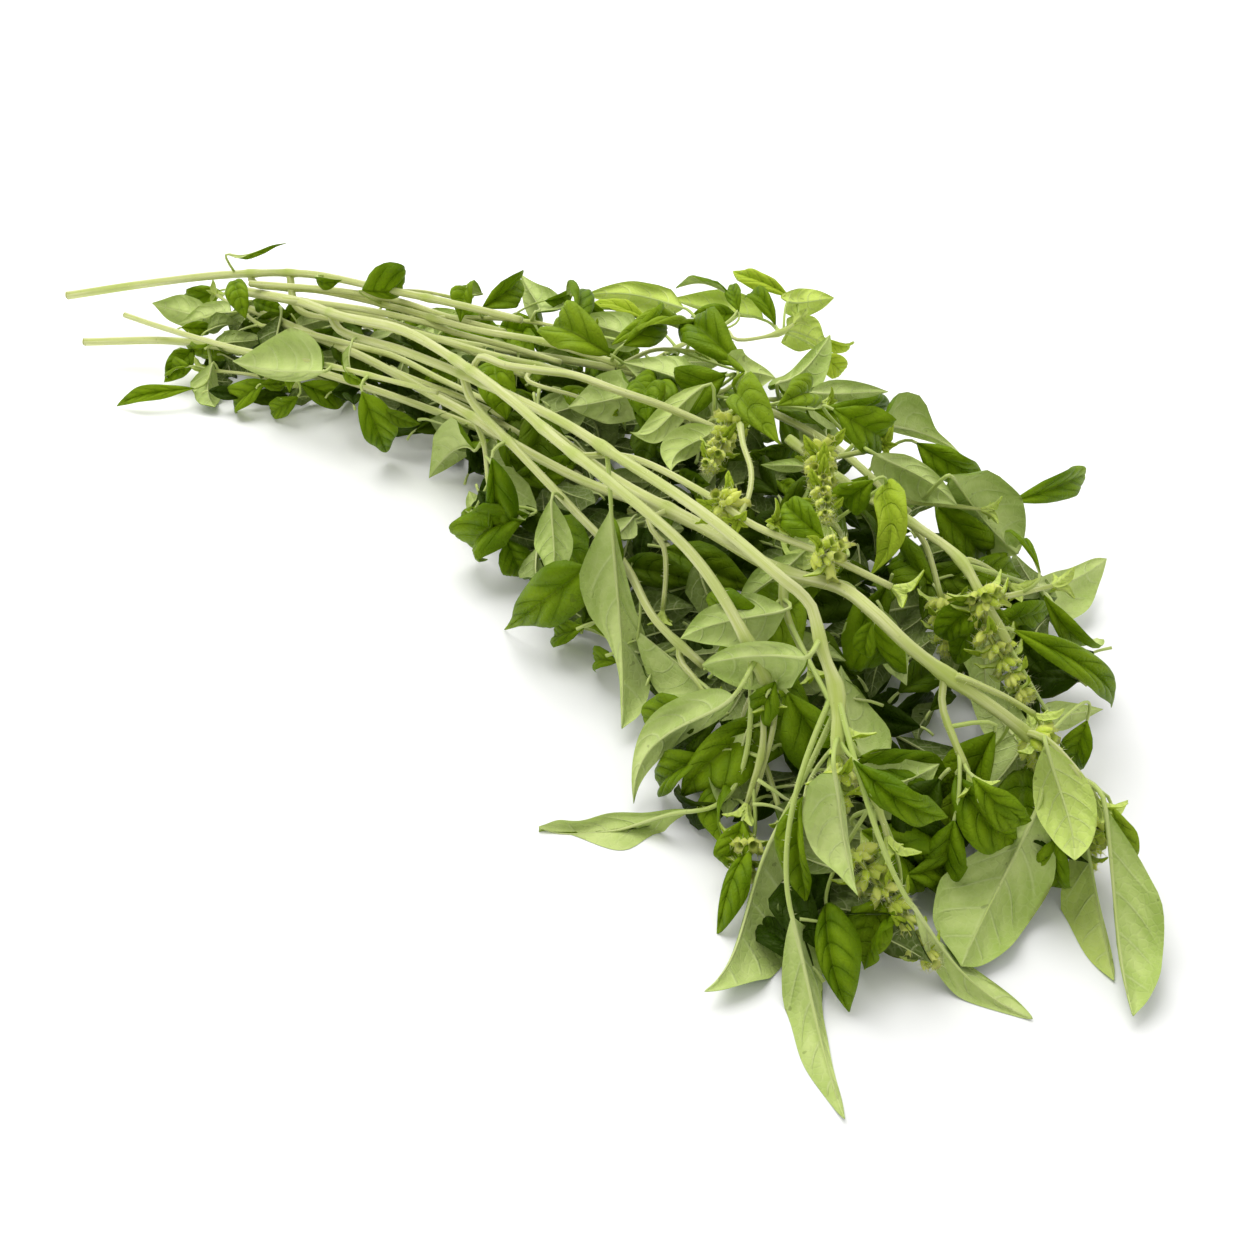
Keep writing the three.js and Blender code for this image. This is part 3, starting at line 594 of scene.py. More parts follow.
def route(points):
    """Evenly spaced places on a centripetal Catmull-Rom curve through the points."""
    given = np.array(points, float)
    first = 2 * given[0] - given[1]
    last = 2 * given[-1] - given[-2]
    knots = np.vstack([first, given, last])
    dense = []
    for i in range(1, len(knots) - 2):
        p0, p1, p2, p3 = knots[i - 1:i + 3]
        t1 = np.linalg.norm(p1 - p0) ** 0.5
        t2 = t1 + np.linalg.norm(p2 - p1) ** 0.5
        t3 = t2 + np.linalg.norm(p3 - p2) ** 0.5
        t = np.linspace(t1, t2, ROUTE_STEPS, endpoint=False)[:, None]
        a1 = (t1 - t) / t1 * p0 + t / t1 * p1
        a2 = (t2 - t) / (t2 - t1) * p1 + (t - t1) / (t2 - t1) * p2
        a3 = (t3 - t) / (t3 - t2) * p2 + (t - t2) / (t3 - t2) * p3
        b1 = (t2 - t) / t2 * a1 + t / t2 * a2
        b2 = (t3 - t) / (t3 - t1) * a2 + (t - t1) / (t3 - t1) * a3
        dense.append((t2 - t) / (t2 - t1) * b1 + (t - t1) / (t2 - t1) * b2)
    dense.append(given[-1:])
    return evenly(np.vstack(dense), ROUTE_PLACES)


def bezier(start, pull, end, shares):
    t = shares[:, None]
    return (1 - t) ** 2 * start + 2 * t * (1 - t) * pull + t * t * end


def directions(points):
    steps = np.gradient(points, axis=0)
    return steps / np.maximum(1e-9, norms(steps))[:, None]


def square_part(way, axis):
    """The direction of the part of a way that is square to the axis."""
    return unit(way - axis * way.dot(axis))


def carried(along, facing):
    """Two directions square to the path at each place, carried on without twist."""
    across = np.zeros_like(along)
    side = np.array(facing, float)
    for i, direction in enumerate(along):
        side = square_part(side, direction)
        across[i] = side
    return across, np.cross(along, across)


def square_to(way, facing):
    """Two directions square to one way."""
    across, over = carried(way[None], facing)
    return across[0], over[0]


def round_about(side, over, angle):
    """The direction at an angle from one side towards the other."""
    return side * math.cos(angle) + over * math.sin(angle)


def round_angles(sides):
    return np.linspace(0, FULL_TURN, sides, endpoint=False)


def round_flow(angles, gone):
    """The flow over a round skin: which way each place lies, and how far along."""
    flow = np.zeros((len(gone), len(angles), 3))
    flow[..., 0] = np.cos(angles)[None]
    flow[..., 1] = np.sin(angles)[None]
    flow[..., 2] = gone[:, None]
    return flow


def vector(values):
    return np.array(values, float)


# ---------------------------------------------------------------- meshes

TOP, UNDER, STEM, PETIOLE, CALYX, HAIR, CUT = range(7)


class Piece:
    """One mesh under way: closed skins with their materials and surface values."""

    def __init__(self, name):
        self.name = name
        self.parts = []
        self.count = 0

    def skin(self, rings, first, last, slots, flow, tone, trait, margins=()):
        """Adds a closed skin: rings from the first end to the last, each counted round the
        way that a right-handed screw turns, and one middle place at each end."""
        rows, sides = rings.shape[:2]
        base = self.count
        points = np.vstack([rings.reshape(-1, 3), first[None], last[None]])
        index = base + np.arange(rows * sides).reshape(rows, sides)
        ahead = np.roll(index, -1, axis=1)
        slots = np.broadcast_to(np.asarray(slots), (sides,))
        quads = np.stack([index[:-1], ahead[:-1], ahead[1:], index[1:]], axis=-1)
        # Both sheets of a blade bend along the same diagonals, so that neither pokes through.
        quads[:, slots == UNDER] = np.roll(quads[:, slots == UNDER], -1, axis=-1)
        middle = base + rows * sides
        foot = np.stack([np.full(sides, middle), ahead[0], index[0]], axis=-1)
        tip = np.stack([np.full(sides, middle + 1), index[-1], ahead[-1]], axis=-1)
        values = []
        for value in (flow, tone, trait):
            if value is not flow:
                value = np.broadcast_to(np.asarray(value, float), (rows, sides))
            flat = value.reshape(rows * sides, -1)
            values.append(np.vstack([flat, flat[:1], flat[-1:]]))
        sharp = np.zeros((rows, sides), bool)
        for column in margins:
            sharp[:, column] = True
        self.parts.append((
            points, quads.reshape(-1, 4), np.tile(slots, rows - 1), np.vstack([foot, tip]),
            np.tile(slots, 2), *values, np.concatenate([sharp.ravel(), [False, False]])))
        self.count += len(points)

    def tube(self, points, radii, slot, sides=8, ridge=0.0, tone=0.0, trait=0.5):
        """A round rod along the points, or one with four ridges."""
        along = directions(points)
        across, over = carried(along, UP)
        angles = round_angles(sides)
        swell = 1 + ridge * np.cos(RIDGES * angles)
        ring = across[:, None] * np.cos(angles)[None, :, None]
        ring = ring + over[:, None] * np.sin(angles)[None, :, None]
        rings = points[:, None] + ring * (radii[:, None] * swell[None])[..., None]
        flow = round_flow(angles, way_gone(points) / FLOW_SCALE)
        first = points[0] - along[0] * radii[0] * 0.25
        last = points[-1] + along[-1] * radii[-1] * 0.25
        shares = (0.5 + 0.5 * np.cos(RIDGES * angles))[None] if ridge else trait
        self.skin(rings, first, last, slot, flow, tone, shares)

    def finish(self, material_slot):
        """Makes the Blender object and lets it ride with the bunch."""
        points, quads, quad_slots, tris, tri_slots, flow, tone, trait, sharp = zip(*self.parts)
        points = np.vstack(points) * MM
        quads = np.vstack(quads)
        tris = np.vstack(tris)
        slots = np.concatenate(quad_slots + tri_slots)
        used = np.unique(slots)
        mesh = bpy.data.meshes.new(self.name)
        mesh.vertices.add(len(points))
        mesh.vertices.foreach_set("co", points.ravel())
        mesh.loops.add(quads.size + tris.size)
        mesh.loops.foreach_set("vertex_index", np.concatenate([quads.ravel(), tris.ravel()]))
        mesh.polygons.add(len(quads) + len(tris))
        starts = np.concatenate([np.arange(len(quads)) * 4, quads.size + np.arange(len(tris)) * 3])
        mesh.polygons.foreach_set("loop_start", starts)
        for slot in used:
            mesh.materials.append(palette[slot])
        mesh.polygons.foreach_set("material_index", np.searchsorted(used, slots))
        mesh.polygons.foreach_set("use_smooth", np.ones(len(slots), bool))
        mesh.update(calc_edges=True)
        for name, kind, key, values in (("flow", "FLOAT_VECTOR", "vector", flow),
                                        ("tone", "FLOAT", "value", tone),
                                        ("trait", "FLOAT", "value", trait)):
            attribute = mesh.attributes.new(name, kind, "POINT")
            attribute.data.foreach_set(key, np.vstack(values).ravel().astype(np.float32))
        ends = np.zeros(len(mesh.edges) * 2, np.int32)
        mesh.edges.foreach_get("vertices", ends)
        hard = mesh.attributes.new("sharp_edge", "BOOLEAN", "EDGE")
        hard.data.foreach_set("value", np.concatenate(sharp)[ends.reshape(-1, 2)].all(axis=1))
        thing = add_object(self.name, mesh)
        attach(thing, "root")
        return thing


def add_object(name, data):
    thing = bpy.data.objects.new(name, data)
    bpy.context.scene.collection.objects.link(thing)
    return thing


# ---------------------------------------------------------------- leaves

def read_row(row):
    """A leaf's foot, tip, width, turn, fold and bow, and what else is known of its shape."""
    return vector(row[:3]), vector(row[3:6]), *row[6:10], *(row[10:] or [{}])


def upper_side(foot, tip, turn):
    """The upper side of a blade, square to the line from its foot to its tip."""
    axis = unit(tip - foot)
    outward = square_part(OPEN_SIDE - (foot + tip) / 2, axis)
    return turned(outward, axis, np.array(math.radians(turn)))


def petiole_origin(stem, foot):
    """The place where a petiole leaves its stem, a little before the nearest one."""
    gaps = norms(stem - foot)
    nearest = int(gaps.argmin())
    step = np.linalg.norm(stem[1] - stem[0])
    return stem[max(0, round(nearest - 0.4 * gaps[nearest] / step))]


def leaf_habit(name):
    """The small differences that make each leaf its own, always alike for one name."""
    dice = random.Random(name)
    return {key: dice.uniform(least, most) for key, (least, most) in HABITS.items()}


def blade_path(foot, tip, turn, bow, habit):
    """Places along the midrib of a blade, with its direction, side and face there."""
    upper = upper_side(foot, tip, turn)
    crown = (foot + tip) / 2 + upper * 2 * bow
    shares = np.linspace(0, 1, MIDRIB_PLACES)
    length = np.linalg.norm(tip - foot)
    side = np.cross(unit(tip - foot), upper)
    path = bezier(foot, crown, tip, shares)
    bend = (shares * (1 - shares) * 4 * shares)[:, None]
    path = path + side * habit["hook"] * length * bend
    path = path - upper * habit["droop"] * length * (smooth(shares, 0.45, 1.0) * 0.6)[:, None]
    along = directions(path)
    across = np.cross(along, upper)
    across /= norms(across)[:, None]
    across = turned(across, along, np.radians(habit["twist"]) * (shares - 0.2))
    return shares, path, along, across, np.cross(across, along)


def blade_columns(fine):
    """Shares of the half width at which a blade has its columns of places."""
    if fine >= FINE_LARGE:
        return np.array([0, 0.07, 0.18, 0.31, 0.44, 0.58, 0.72, 0.86, 1.0])
    if fine >= FINE_LOOSE:
        return np.array([0, 0.12, 0.3, 0.5, 0.7, 0.87, 1.0])
    return np.array([0, 0.2, 0.5, 0.8, 1.0])


def half_width(shares, habit, known):
    """Share of the full half width along the blade: through the known places on the margin
    where there are any, or else a wedge foot and a drawn-out tip."""
    if known is not None:
        places = [[MARGIN_STEP * (k + 1), size, 0] for k, size in enumerate(known)]
        margin = route([[0, 0, 0], *places, [1, 0, 0]])
        return np.interp(shares, margin[:, 0], margin[:, 1])
    base, point = habit["base"], habit["point"]
    peak = base / (base + point)
    inner = np.clip(shares, 0, 1)
    rise = (inner / peak) ** base
    fall = (np.clip(1 - inner, 0, 1) / (1 - peak)) ** point
    return rise * fall


def add_blade(piece, foot, tip, width, turn, fold, bow, tone, habit, fine):
    """A folded, quilted and waved blade as two sheets that meet at the margin."""
    shares, path, _, across, face = blade_path(foot, tip, turn, bow, habit)
    half = blade_columns(fine)
    spread = np.concatenate([-half[:0:-1], half])
    columns = len(spread)
    rows = VEINS_PER_HALF * max(3, round(5 * fine)) + 1
    u = np.linspace(0.0, LAST_ROW, rows)[:, None]
    v = spread[None]
    reach = np.abs(v)
    sweep = VEIN_SWEEP * smooth(u, 0.0, 0.3)
    t = u + sweep * (1 - u) * reach ** 1.5

    def halves(name, left, right):
        """A value for each half of the blade."""
        return np.where(v < 0, habit.get(name + "left", left), habit.get(name + "right", right))

    size = np.where(v < 0, half_width(t, habit, habit.get("left_margin")),
                    half_width(t, habit, habit.get("right_margin")))
    size = width / 2 * size + 0.05
    size = np.maximum(size, LEAST_HALF_WIDTH * smooth(1 - t, 0.0, 0.3)) * halves("", 1.0, 1.0)

    def spot(values):
        """Values along the midrib carried over to all places of the blade."""
        return np.stack([np.interp(t, shares, values[:, k]) for k in range(3)], axis=-1)

    place, sideways, up = spot(path), spot(across), spot(face)
    fold = fold + EXTRA_FOLD
    folds = halves("fold_", fold * (1 - habit["lean"]), fold * (1 + habit["lean"]))
    angle = np.radians(folds) * (1.2 - 0.5 * t)
    turns = habit["waves"] * t + halves("phase_", 0, 0)
    wave = habit["wave"] * np.sin(FULL_TURN * turns) * reach ** 2
    arch = habit["arch"] * reach * (1 - reach) * 2
    curl = habit["curl"] * np.clip(reach - 0.55, 0, 1) ** 2 * 2.2
    quilt = np.abs(np.sin(math.pi * u * VEINS_PER_HALF)) ** 0.7
    pillow = habit["quilt"] * QUILT_HEIGHT * quilt * np.sin(math.pi * reach ** 0.85)
    raised = size * (reach * np.sin(angle) + wave + arch - curl + pillow)
    outward = size * v * np.cos(angle)
    middle = land(place + sideways * outward[..., None] + up * raised[..., None])
    middle[..., 2] = np.maximum(middle[..., 2], BLADE_THICKNESS / 2)
    normal = np.cross(np.gradient(middle, axis=1), np.gradient(middle, axis=0)) + up * 1e-4
    normal /= norms(normal)[..., None]
    normal = np.where(((normal * up).sum(-1) < -0.2)[..., None], up, normal)
    thick = BLADE_EDGE_THICKNESS + (BLADE_THICKNESS - BLADE_EDGE_THICKNESS) * (1 - reach)
    thick = np.broadcast_to(thick, middle.shape[:2])[..., None] / 2
    thick = thick * np.where(reach[..., None] > 0.999, 0.0, 1.0)
    top = middle + normal * thick
    bottom = middle - normal * thick
    rings = np.concatenate([top, bottom[:, -2:0:-1]], axis=1)
    flow = np.zeros(rings.shape)
    flow[..., 0] = u * VEINS_PER_HALF
    flow[..., 1] = np.concatenate([spread, spread[-2:0:-1]])[None]
    flow[..., 2] = habit["trait"] * 10
    slots = np.repeat([TOP, UNDER], columns - 1)
    start = place[0, columns // 2]
    end = land(path[-1].copy())
    piece.skin(rings, start, end, slots, flow, tone, habit["trait"], margins=(0, columns - 1))


def add_petiole(piece, origin, foot, tip, turn, bow, habit, radius, tone, sides):
    """A petiole that runs on beneath the blade as its raised midrib."""
    shares, path, along, _, face = blade_path(foot, tip, turn, bow, habit)
    span = np.linalg.norm(origin - foot)
    count = max(4, round(span / PETIOLE_STEP))
    gone = np.linspace(0, 1, count)
    stalk = bezier(origin, foot - along[0] * 0.4 * span, foot, gone)
    stalk_radii = radius * (1.1 - 0.25 * gone)
    picks = np.arange(1, MIDRIB_PLACES - 3, 3)
    rib_radii = radius * (0.85 - 0.72 * shares[picks])
    rib = path[picks] - face[picks] * (rib_radii * 0.75)[:, None]
    points = np.vstack([stalk[:-1], rib])
    radii = np.concatenate([stalk_radii[:-1], rib_radii])
    ribbed = np.concatenate([np.zeros(count - 1), np.ones(len(picks))])
    piece.tube(land(points), radii, PETIOLE, sides, tone=tone, trait=ribbed[:, None])
    return stalk


def add_leaf(piece, stem, row, name, fine, tone=0.3, sides=6):
    """A whole leaf, from the stem to the tip of the blade; without a stem it is a loose one."""
    foot, tip, width, turn, fold, bow, shape = read_row(row)
    habit = {**leaf_habit(name), **shape}
    tone = habit.get("tone", tone)
    add_blade(piece, foot, tip, width, turn, fold, bow, tone, habit, fine)
    if stem is None:
        origin = foot + (foot - tip) * 0.2 - UP * 1.5
        origin[2] = max(origin[2], 1.0)
    else:
        origin = petiole_origin(stem, foot)
    radius = PETIOLE_RADIUS * min(1.0, 0.45 + np.linalg.norm(tip - foot) / 70)
    return add_petiole(piece, origin, foot, tip, turn, bow, habit, radius, tone, sides)


# ---------------------------------------------------------------- stems and hairs

def add_hairs(piece, roots, outward, length, dice):
    """Fine soft hairs, each a thin closed spine."""
    for root, way in zip(roots, outward):
        way = unit(way + np.array([dice.uniform(-0.4, 0.4) for _ in range(3)]))
        side = unit(np.cross(way, [0.3, 0.5, 0.8]))
        over = np.cross(way, side)
        reach = length * dice.uniform(0.6, 1.3)
        ring = np.array([[root + round_about(side, over, FULL_TURN * k / HAIR_CORNERS) * HAIR_RADIUS
                          for k in range(HAIR_CORNERS)]])
        flow = np.zeros(ring.shape)
        piece.skin(ring, root - way * 0.05, root + way * reach, HAIR, flow, 0.5, 0.5)


def hairs_on_rod(piece, points, radii, per_mm, length, seed):
    """Hairs spread over a rod, so many for each millimetre."""
    dice = random.Random(seed)
    across, over = carried(directions(points), UP)
    roots, ways = [], []
    for _ in range(int(steps_of(points).sum() * per_mm)):
        i = dice.randrange(len(points) - 1)
        share = dice.random()
        way = round_about(across[i], over[i], dice.uniform(0, FULL_TURN))
        centre = points[i] * (1 - share) + points[i + 1] * share
        roots.append(centre + way * radii[i] * 0.96)
        ways.append(way)
    add_hairs(piece, roots, ways, length, dice)


def add_stem(piece, points, start_radius, end_radius, nodes, seed, hairy=0.5):
    """A four-ridged stem that swells a little at its nodes."""
    count = max(8, round(steps_of(points).sum() / STEM_STEP))
    path = evenly(points, count)
    share = np.linspace(0, 1, count)
    dice = random.Random(seed)
    wobble = np.zeros(count)
    for _ in range(3):
        turns = dice.uniform(1.5, 6)
        wobble += 0.012 * np.sin(FULL_TURN * (share * turns + dice.random()))
    radii = (start_radius + (end_radius - start_radius) * share) * (1 + wobble)
    tone = np.zeros(count)
    for node in nodes:
        near = np.exp(-(norms(path - node) / NODE_SPREAD) ** 2)
        radii = radii * (1 + NODE_SWELL * near)
        tone = np.maximum(tone, near)
    piece.tube(path, radii, STEM, STEM_SIDES, STEM_RIDGE, tone[:, None])
    hairs_on_rod(piece, path, radii, hairy, STEM_HAIR, seed)
    return path, radii


def add_cut_end(piece, points, radius):
    """A flat, slightly hollowed face where a stem was cut."""
    along = directions(points)[0]
    across, over = square_to(along, UP)
    rim = [(1.0, 0.2), (1.0, 0.45), (0.94, 0.55), (0.55, 0.5)]
    rings = np.zeros((len(rim), STEM_SIDES, 3))
    flow = np.zeros(rings.shape)
    for i, (share, out) in enumerate(rim):
        for j, angle in enumerate(round_angles(STEM_SIDES)):
            size = share * radius * (1 + 0.07 * math.cos(RIDGES * angle))
            radial = round_about(across, -over, angle)
            rings[i, j] = points[0] + radial * size - along * out
            flow[i, j] = (share * math.cos(angle), share * math.sin(angle), 0)
    piece.skin(rings, points[0], points[0] - along * 0.42, CUT, flow, 0.0, 0.5)


# ---------------------------------------------------------------- flower spikes

def add_calyx(piece, base, way, above, length, tone, dice, closed=False):
    """One small bell-shaped calyx with a broad upper lip and narrow lower teeth."""
    side = unit(np.cross(way, above))
    over = np.cross(side, way)
    shares, bulge, depth = np.array(CLOSED_CALYX if closed else OPEN_CALYX)
    radius = CALYX_RADIUS * length / CALYX_LENGTH
    angles = round_angles(CALYX_SIDES)
    rings = np.zeros((len(shares), CALYX_SIDES, 3))
    for i, (share, swell) in enumerate(zip(shares, bulge)):
        centre = base + way * length * share + over * (share * share * length * 0.12)
        for j, angle in enumerate(angles):
            radial = round_about(side, over, angle)
            ridge = 1 + 0.06 * math.cos(RIDGES * angle)
            place = centre + radial * radius * swell * ridge
            if i == LIP_RING and not closed:
                lip = 0.22 if math.sin(angle) > 0.5 else 0.12 * (j % 2)
                place = place + (way + radial * 0.5) * length * lip
            rings[i, j] = place
    flow = round_flow(angles, shares)
    last = base + way * length * (1.04 if closed else 0.35)
    # The depth of each ring is carried as trait and becomes painted shade in the calyx material.
    piece.skin(land(rings), base - way * 0.1, last, CALYX, flow, tone, depth[:, None])
    roots, ways = [], []
    for _ in range(CALYX_HAIRS):
        i = dice.randrange(1, LIP_RING + 1)
        j = dice.randrange(CALYX_SIDES)
        roots.append(rings[i, j])
        ways.append(round_about(side, over, angles[j]) + way * 0.6)
    add_hairs(piece, roots, ways, CALYX_HAIR, dice)


def add_bract(piece, base, way, above, length, seed, tone=0.75):
    """A small pointed leaf without a petiole."""
    habit = {**leaf_habit(seed), "base": 0.6, "point": 1.0, "droop": 0.1}
    tip = base + way * length
    axis = unit(way)
    outward = square_part(OPEN_SIDE - (base + tip) / 2, axis)
    wanted = square_part(above, axis)
    turn = math.degrees(math.atan2(np.cross(outward, wanted).dot(axis), outward.dot(wanted)))
    add_blade(piece, base, tip, length * 0.52, turn, 28, length * 0.12, tone, habit, FINE_SMALL)


def add_whorl(piece, centre, way, radius, length, dice, tilt=0.35, tone=0.6):
    """A ring of calyces round a stalk, over a pair of bracts."""
    side, over = square_to(way, ROUND_FROM)
    start = dice.uniform(0, math.pi)
    for k in range(WHORL_FLOWERS):
        angle = start + FULL_TURN * (k + dice.uniform(-0.15, 0.15)) / WHORL_FLOWERS
        radial = round_about(side, over, angle)
        heading = unit(radial + way * (tilt + dice.uniform(-0.15, 0.25)))
        size = length * dice.uniform(0.85, 1.15)
        foot = centre + radial * radius * 0.35 + way * dice.uniform(-0.5, 0.5)
        shade = tone + dice.uniform(-0.25, 0.25)
        add_calyx(piece, foot, heading, way, size, shade, dice, closed=dice.random() < 0.7)
    for k in range(2):
        radial = round_about(side, over, start + math.pi * k + 0.5)
        foot = centre + radial * radius * 0.3 - way * 0.8
        seed = f"bract {centre[0]:.2f} {centre[1]:.2f} {k}"
        add_bract(piece, foot, unit(radial - way * 0.25), way, length * 1.7, seed)


def add_spike(piece, foot, tip, seed):
    """A flower spike: whorls of calyces up a hairy stalk, closer and smaller to the tip."""
    dice = random.Random(seed)
    length = np.linalg.norm(tip - foot)
    way = unit(tip - foot)
    sag = np.cross(way, [0.2, 0.1, 1.0]) * length * dice.uniform(-0.06, 0.06)
    pull = (foot + tip) / 2 + sag
    stalk = bezier(foot, pull, tip, np.linspace(0, 1, SPIKE_PLACES))
    radii = np.linspace(*SPIKE_RADII, SPIKE_PLACES)
    piece.tube(stalk, radii, CALYX, ridge=0.06, tone=0.6)
    hairs_on_rod(piece, stalk, radii, 3.0, SPIKE_HAIR, seed + " stalk")
    whorls = max(2, round(length / WHORL_PITCH))
    for i in range(whorls):
        share = (i + 0.35) / whorls
        place = bezier(foot, pull, tip, np.array([share]))[0]
        size = CALYX_LENGTH * (1.08 - 0.45 * share)
        add_whorl(piece, place, way, SPIKE_WHORL_RADIUS, size, dice, 0.2 + 0.9 * share)
    side, over = square_to(way, ROUND_FROM)
    for k in range(TIP_FLOWERS):
        radial = round_about(side, over, 2.4 * k)
        heading = unit(way + radial * (0.9 - 0.09 * k))
        base = tip + radial * 0.5 - way * (1.6 - 0.15 * k)
        add_calyx(piece, base, heading, way, 2.5 - 0.1 * k, 0.75, dice, closed=True)


def add_tip_buds(piece, place, way, seed, size=1.0):
    """The closed young leaves at the end of a shoot."""
    dice = random.Random(seed)
    side, over = square_to(way, ROUND_FROM)
    for k in range(TIP_BUDS):
        angle = math.pi / 2 * k + (k // 2) * 0.3 + dice.uniform(-0.2, 0.2)
        radial = round_about(side, over, angle)
        heading = unit(way + radial * (1.2 - 0.17 * k))
        length = size * (9.0 - 0.9 * k) * dice.uniform(0.85, 1.15)
        add_bract(piece, place + radial * 0.4, heading, way, length, f"{seed} {k}", tone=0.85)


# ---------------------------------------------------------------- materials

def srgb(red, green, blue):
    """A colour given as it looks on a screen, as the linear value that a shader takes."""
    linear = []
    for value in (red, green, blue):
        share = value / 255
        linear.append(share / 12.92 if share <= 0.04045 else ((share + 0.055) / 1.055) ** 2.4)
    return (*linear, 1.0)


class Paint:
    """A material under way: nodes that work out how the surface looks at each place."""

    def __init__(self, name):
        self.material = bpy.data.materials.new(name)
        self.material.use_nodes = True
        self.tree = self.material.node_tree
        self.tree.nodes.clear()
        self.output = self.node("OutputMaterial")
        self.place = self.node("TexCoord").outputs["Object"]

    def node(self, kind, inputs=None, **settings):
        node = self.tree.nodes.new("ShaderNode" + kind)
        for name, value in settings.items():
            setattr(node, name, value)
        for name, value in (inputs or {}).items():
            if isinstance(value, bpy.types.NodeSocket):
                self.tree.links.new(value, node.inputs[name])
            else:
                node.inputs[name].default_value = value
        return node

    def maths(self, operation, first, second=0.0):
        return self.node("Math", {0: first, 1: second}, operation=operation).outputs[0]

    def times(self, first, second):
        return self.maths("MULTIPLY", first, second)

    def plus(self, first, second):
        return self.maths("ADD", first, second)

    def between(self, value, start, end, low=0.0, high=1.0):
        """Carries value from start..end over to low..high along a smooth step."""
        inputs = {"Value": value, "From Min": start, "From Max": end, "To Min": low, "To Max": high}
        return self.node("MapRange", inputs, interpolation_type="SMOOTHSTEP").outputs[0]

    def blend(self, share, first, second):
        """The first colour, going over to the second with the share."""
        return self.node("Mix", {0: share, 6: first, 7: second}, data_type="RGBA").outputs[2]

    def noise(self, scale, detail=3.0, roughness=0.55, place=None):
        inputs = {"Scale": scale, "Detail": detail, "Roughness": roughness}
        inputs["Vector"] = self.place if place is None else place
        return self.node("TexNoise", inputs).outputs[0]

    def value(self, name, output="Fac"):
        """One of the surface values that the pieces carry."""
        return self.node("Attribute", attribute_name=name).outputs[output]

    def flow_parts(self):
        return self.node("SeparateXYZ", {0: self.value("flow", "Vector")}).outputs

    def stretched(self, place, scale):
        return self.node("Mapping", {"Vector": place, "Scale": scale}).outputs[0]

    def finish(self, skin, glow_share=0.0, glow=None, height=None, strength=0.6, depth=0.0003):
        """Ends the material: the skin, its fine relief and the light that shines through."""
        relief = {}
        if height is not None:
            bump = {"Strength": strength, "Distance": depth, "Height": height}
            relief = {"Normal": self.node("Bump", bump).outputs[0]}
        surface = self.node("BsdfPrincipled", {**skin, **relief}).outputs[0]
        if glow_share:
            lit = {"Color": skin["Base Color"] if glow is None else glow, **relief}
            through = self.node("BsdfTranslucent", lit).outputs[0]
            surface = self.node("MixShader", {0: glow_share, 1: surface, 2: through}).outputs[0]
        self.tree.links.new(surface, self.output.inputs[0])
        return self.material


def blade_marks(paint):
    """Masks of the side veins, the midrib line, the fine net of veins, the margin and the
    swellings between the veins, which are given a painted highlight."""
    phase, across, _ = paint.flow_parts()
    reach = paint.maths("ABSOLUTE", across)
    beside = paint.maths("ABSOLUTE", paint.maths("SUBTRACT", paint.maths("FRACT", phase), 0.5))
    line = paint.between(beside, 0.425, 0.5)
    veins = paint.times(line, paint.between(reach, 0.55, 0.95, 1.0, 0.0))
    midrib = paint.between(reach, 0.0, 0.07, 1.0, 0.0)
    inputs = {"Vector": paint.place, "Scale": 520.0, "Randomness": 0.9}
    cells = paint.node("TexVoronoi", inputs, feature="DISTANCE_TO_EDGE").outputs["Distance"]
    net = paint.between(cells, 0.0, 0.16, 1.0, 0.0)
    margin = paint.between(reach, 0.9, 1.0)
    pillow = paint.times(paint.between(beside, 0.4, 0.05), paint.between(reach, 1.0, 0.5))
    return veins, midrib, net, margin, pillow


def leaf_material(name, painted_shade, deep, plain, young, vein, glow, vein_share, net_share, roughness,
                  glow_share, sheen, relief):
    """One face of a blade: deep to plain in patches, with veins, spots and a worn margin, and a
    painted highlight on the swellings between the veins. Its tone makes a leaf young above 0.25,
    and below -0.1 blends it into a painted shade colour that stands for the shade deep in the heap."""
    paint = Paint(name)
    veins, midrib, net, margin, pillow = blade_marks(paint)
    tone = paint.value("tone")
    patches = paint.noise(48.0, 4.0, 0.6)
    shade = paint.plus(paint.between(patches, 0.3, 0.7), paint.times(paint.value("trait"), 0.5))
    # Painted highlight: the swellings between the veins are made lighter, as if lit.
    shade = paint.plus(shade, paint.times(pillow, 0.35))
    colour = paint.blend(paint.times(shade, 0.66), deep, plain)
    colour = paint.blend(paint.between(tone, 0.25, 1.0), colour, young)
    # Painted shade: a tone below -0.1 darkens the leaf towards the painted shade colour.
    colour = paint.blend(paint.between(tone, -0.1, -1.0), colour, painted_shade)
    lines = paint.maths("MAXIMUM", veins, midrib)
    colour = paint.blend(paint.times(lines, vein_share), colour, vein)
    mottled = paint.times(paint.noise(420.0, 2.0), 0.12)
    colour = paint.blend(paint.plus(paint.times(net, net_share), mottled), colour, vein)
    spots = paint.between(paint.noise(330.0, 1.0), 0.735, 0.76)
    colour = paint.blend(paint.times(spots, 0.35), colour, srgb(70, 84, 30))
    worn = paint.times(margin, paint.between(paint.noise(130.0, 2.0), 0.56, 0.7))
    colour = paint.blend(paint.times(worn, 0.5), colour, srgb(92, 84, 40))
    grain = paint.times(paint.noise(1500.0, 2.0), 0.35)
    height = paint.plus(paint.times(net, -0.4), grain)
    height = paint.plus(height, paint.times(veins, relief))
    skin = {
        "Base Color": colour,
        "Roughness": paint.between(patches, 0.25, 0.75, roughness - 0.06, roughness + 0.08),
        "Specular IOR Level": 0.2,
        "Specular Tint": (0.85, 1.0, 0.35, 1.0),
        "Sheen Weight": sheen,
        "Sheen Roughness": 0.4,
    }
    return paint.finish(skin, glow_share, paint.blend(0.6, colour, glow), height)


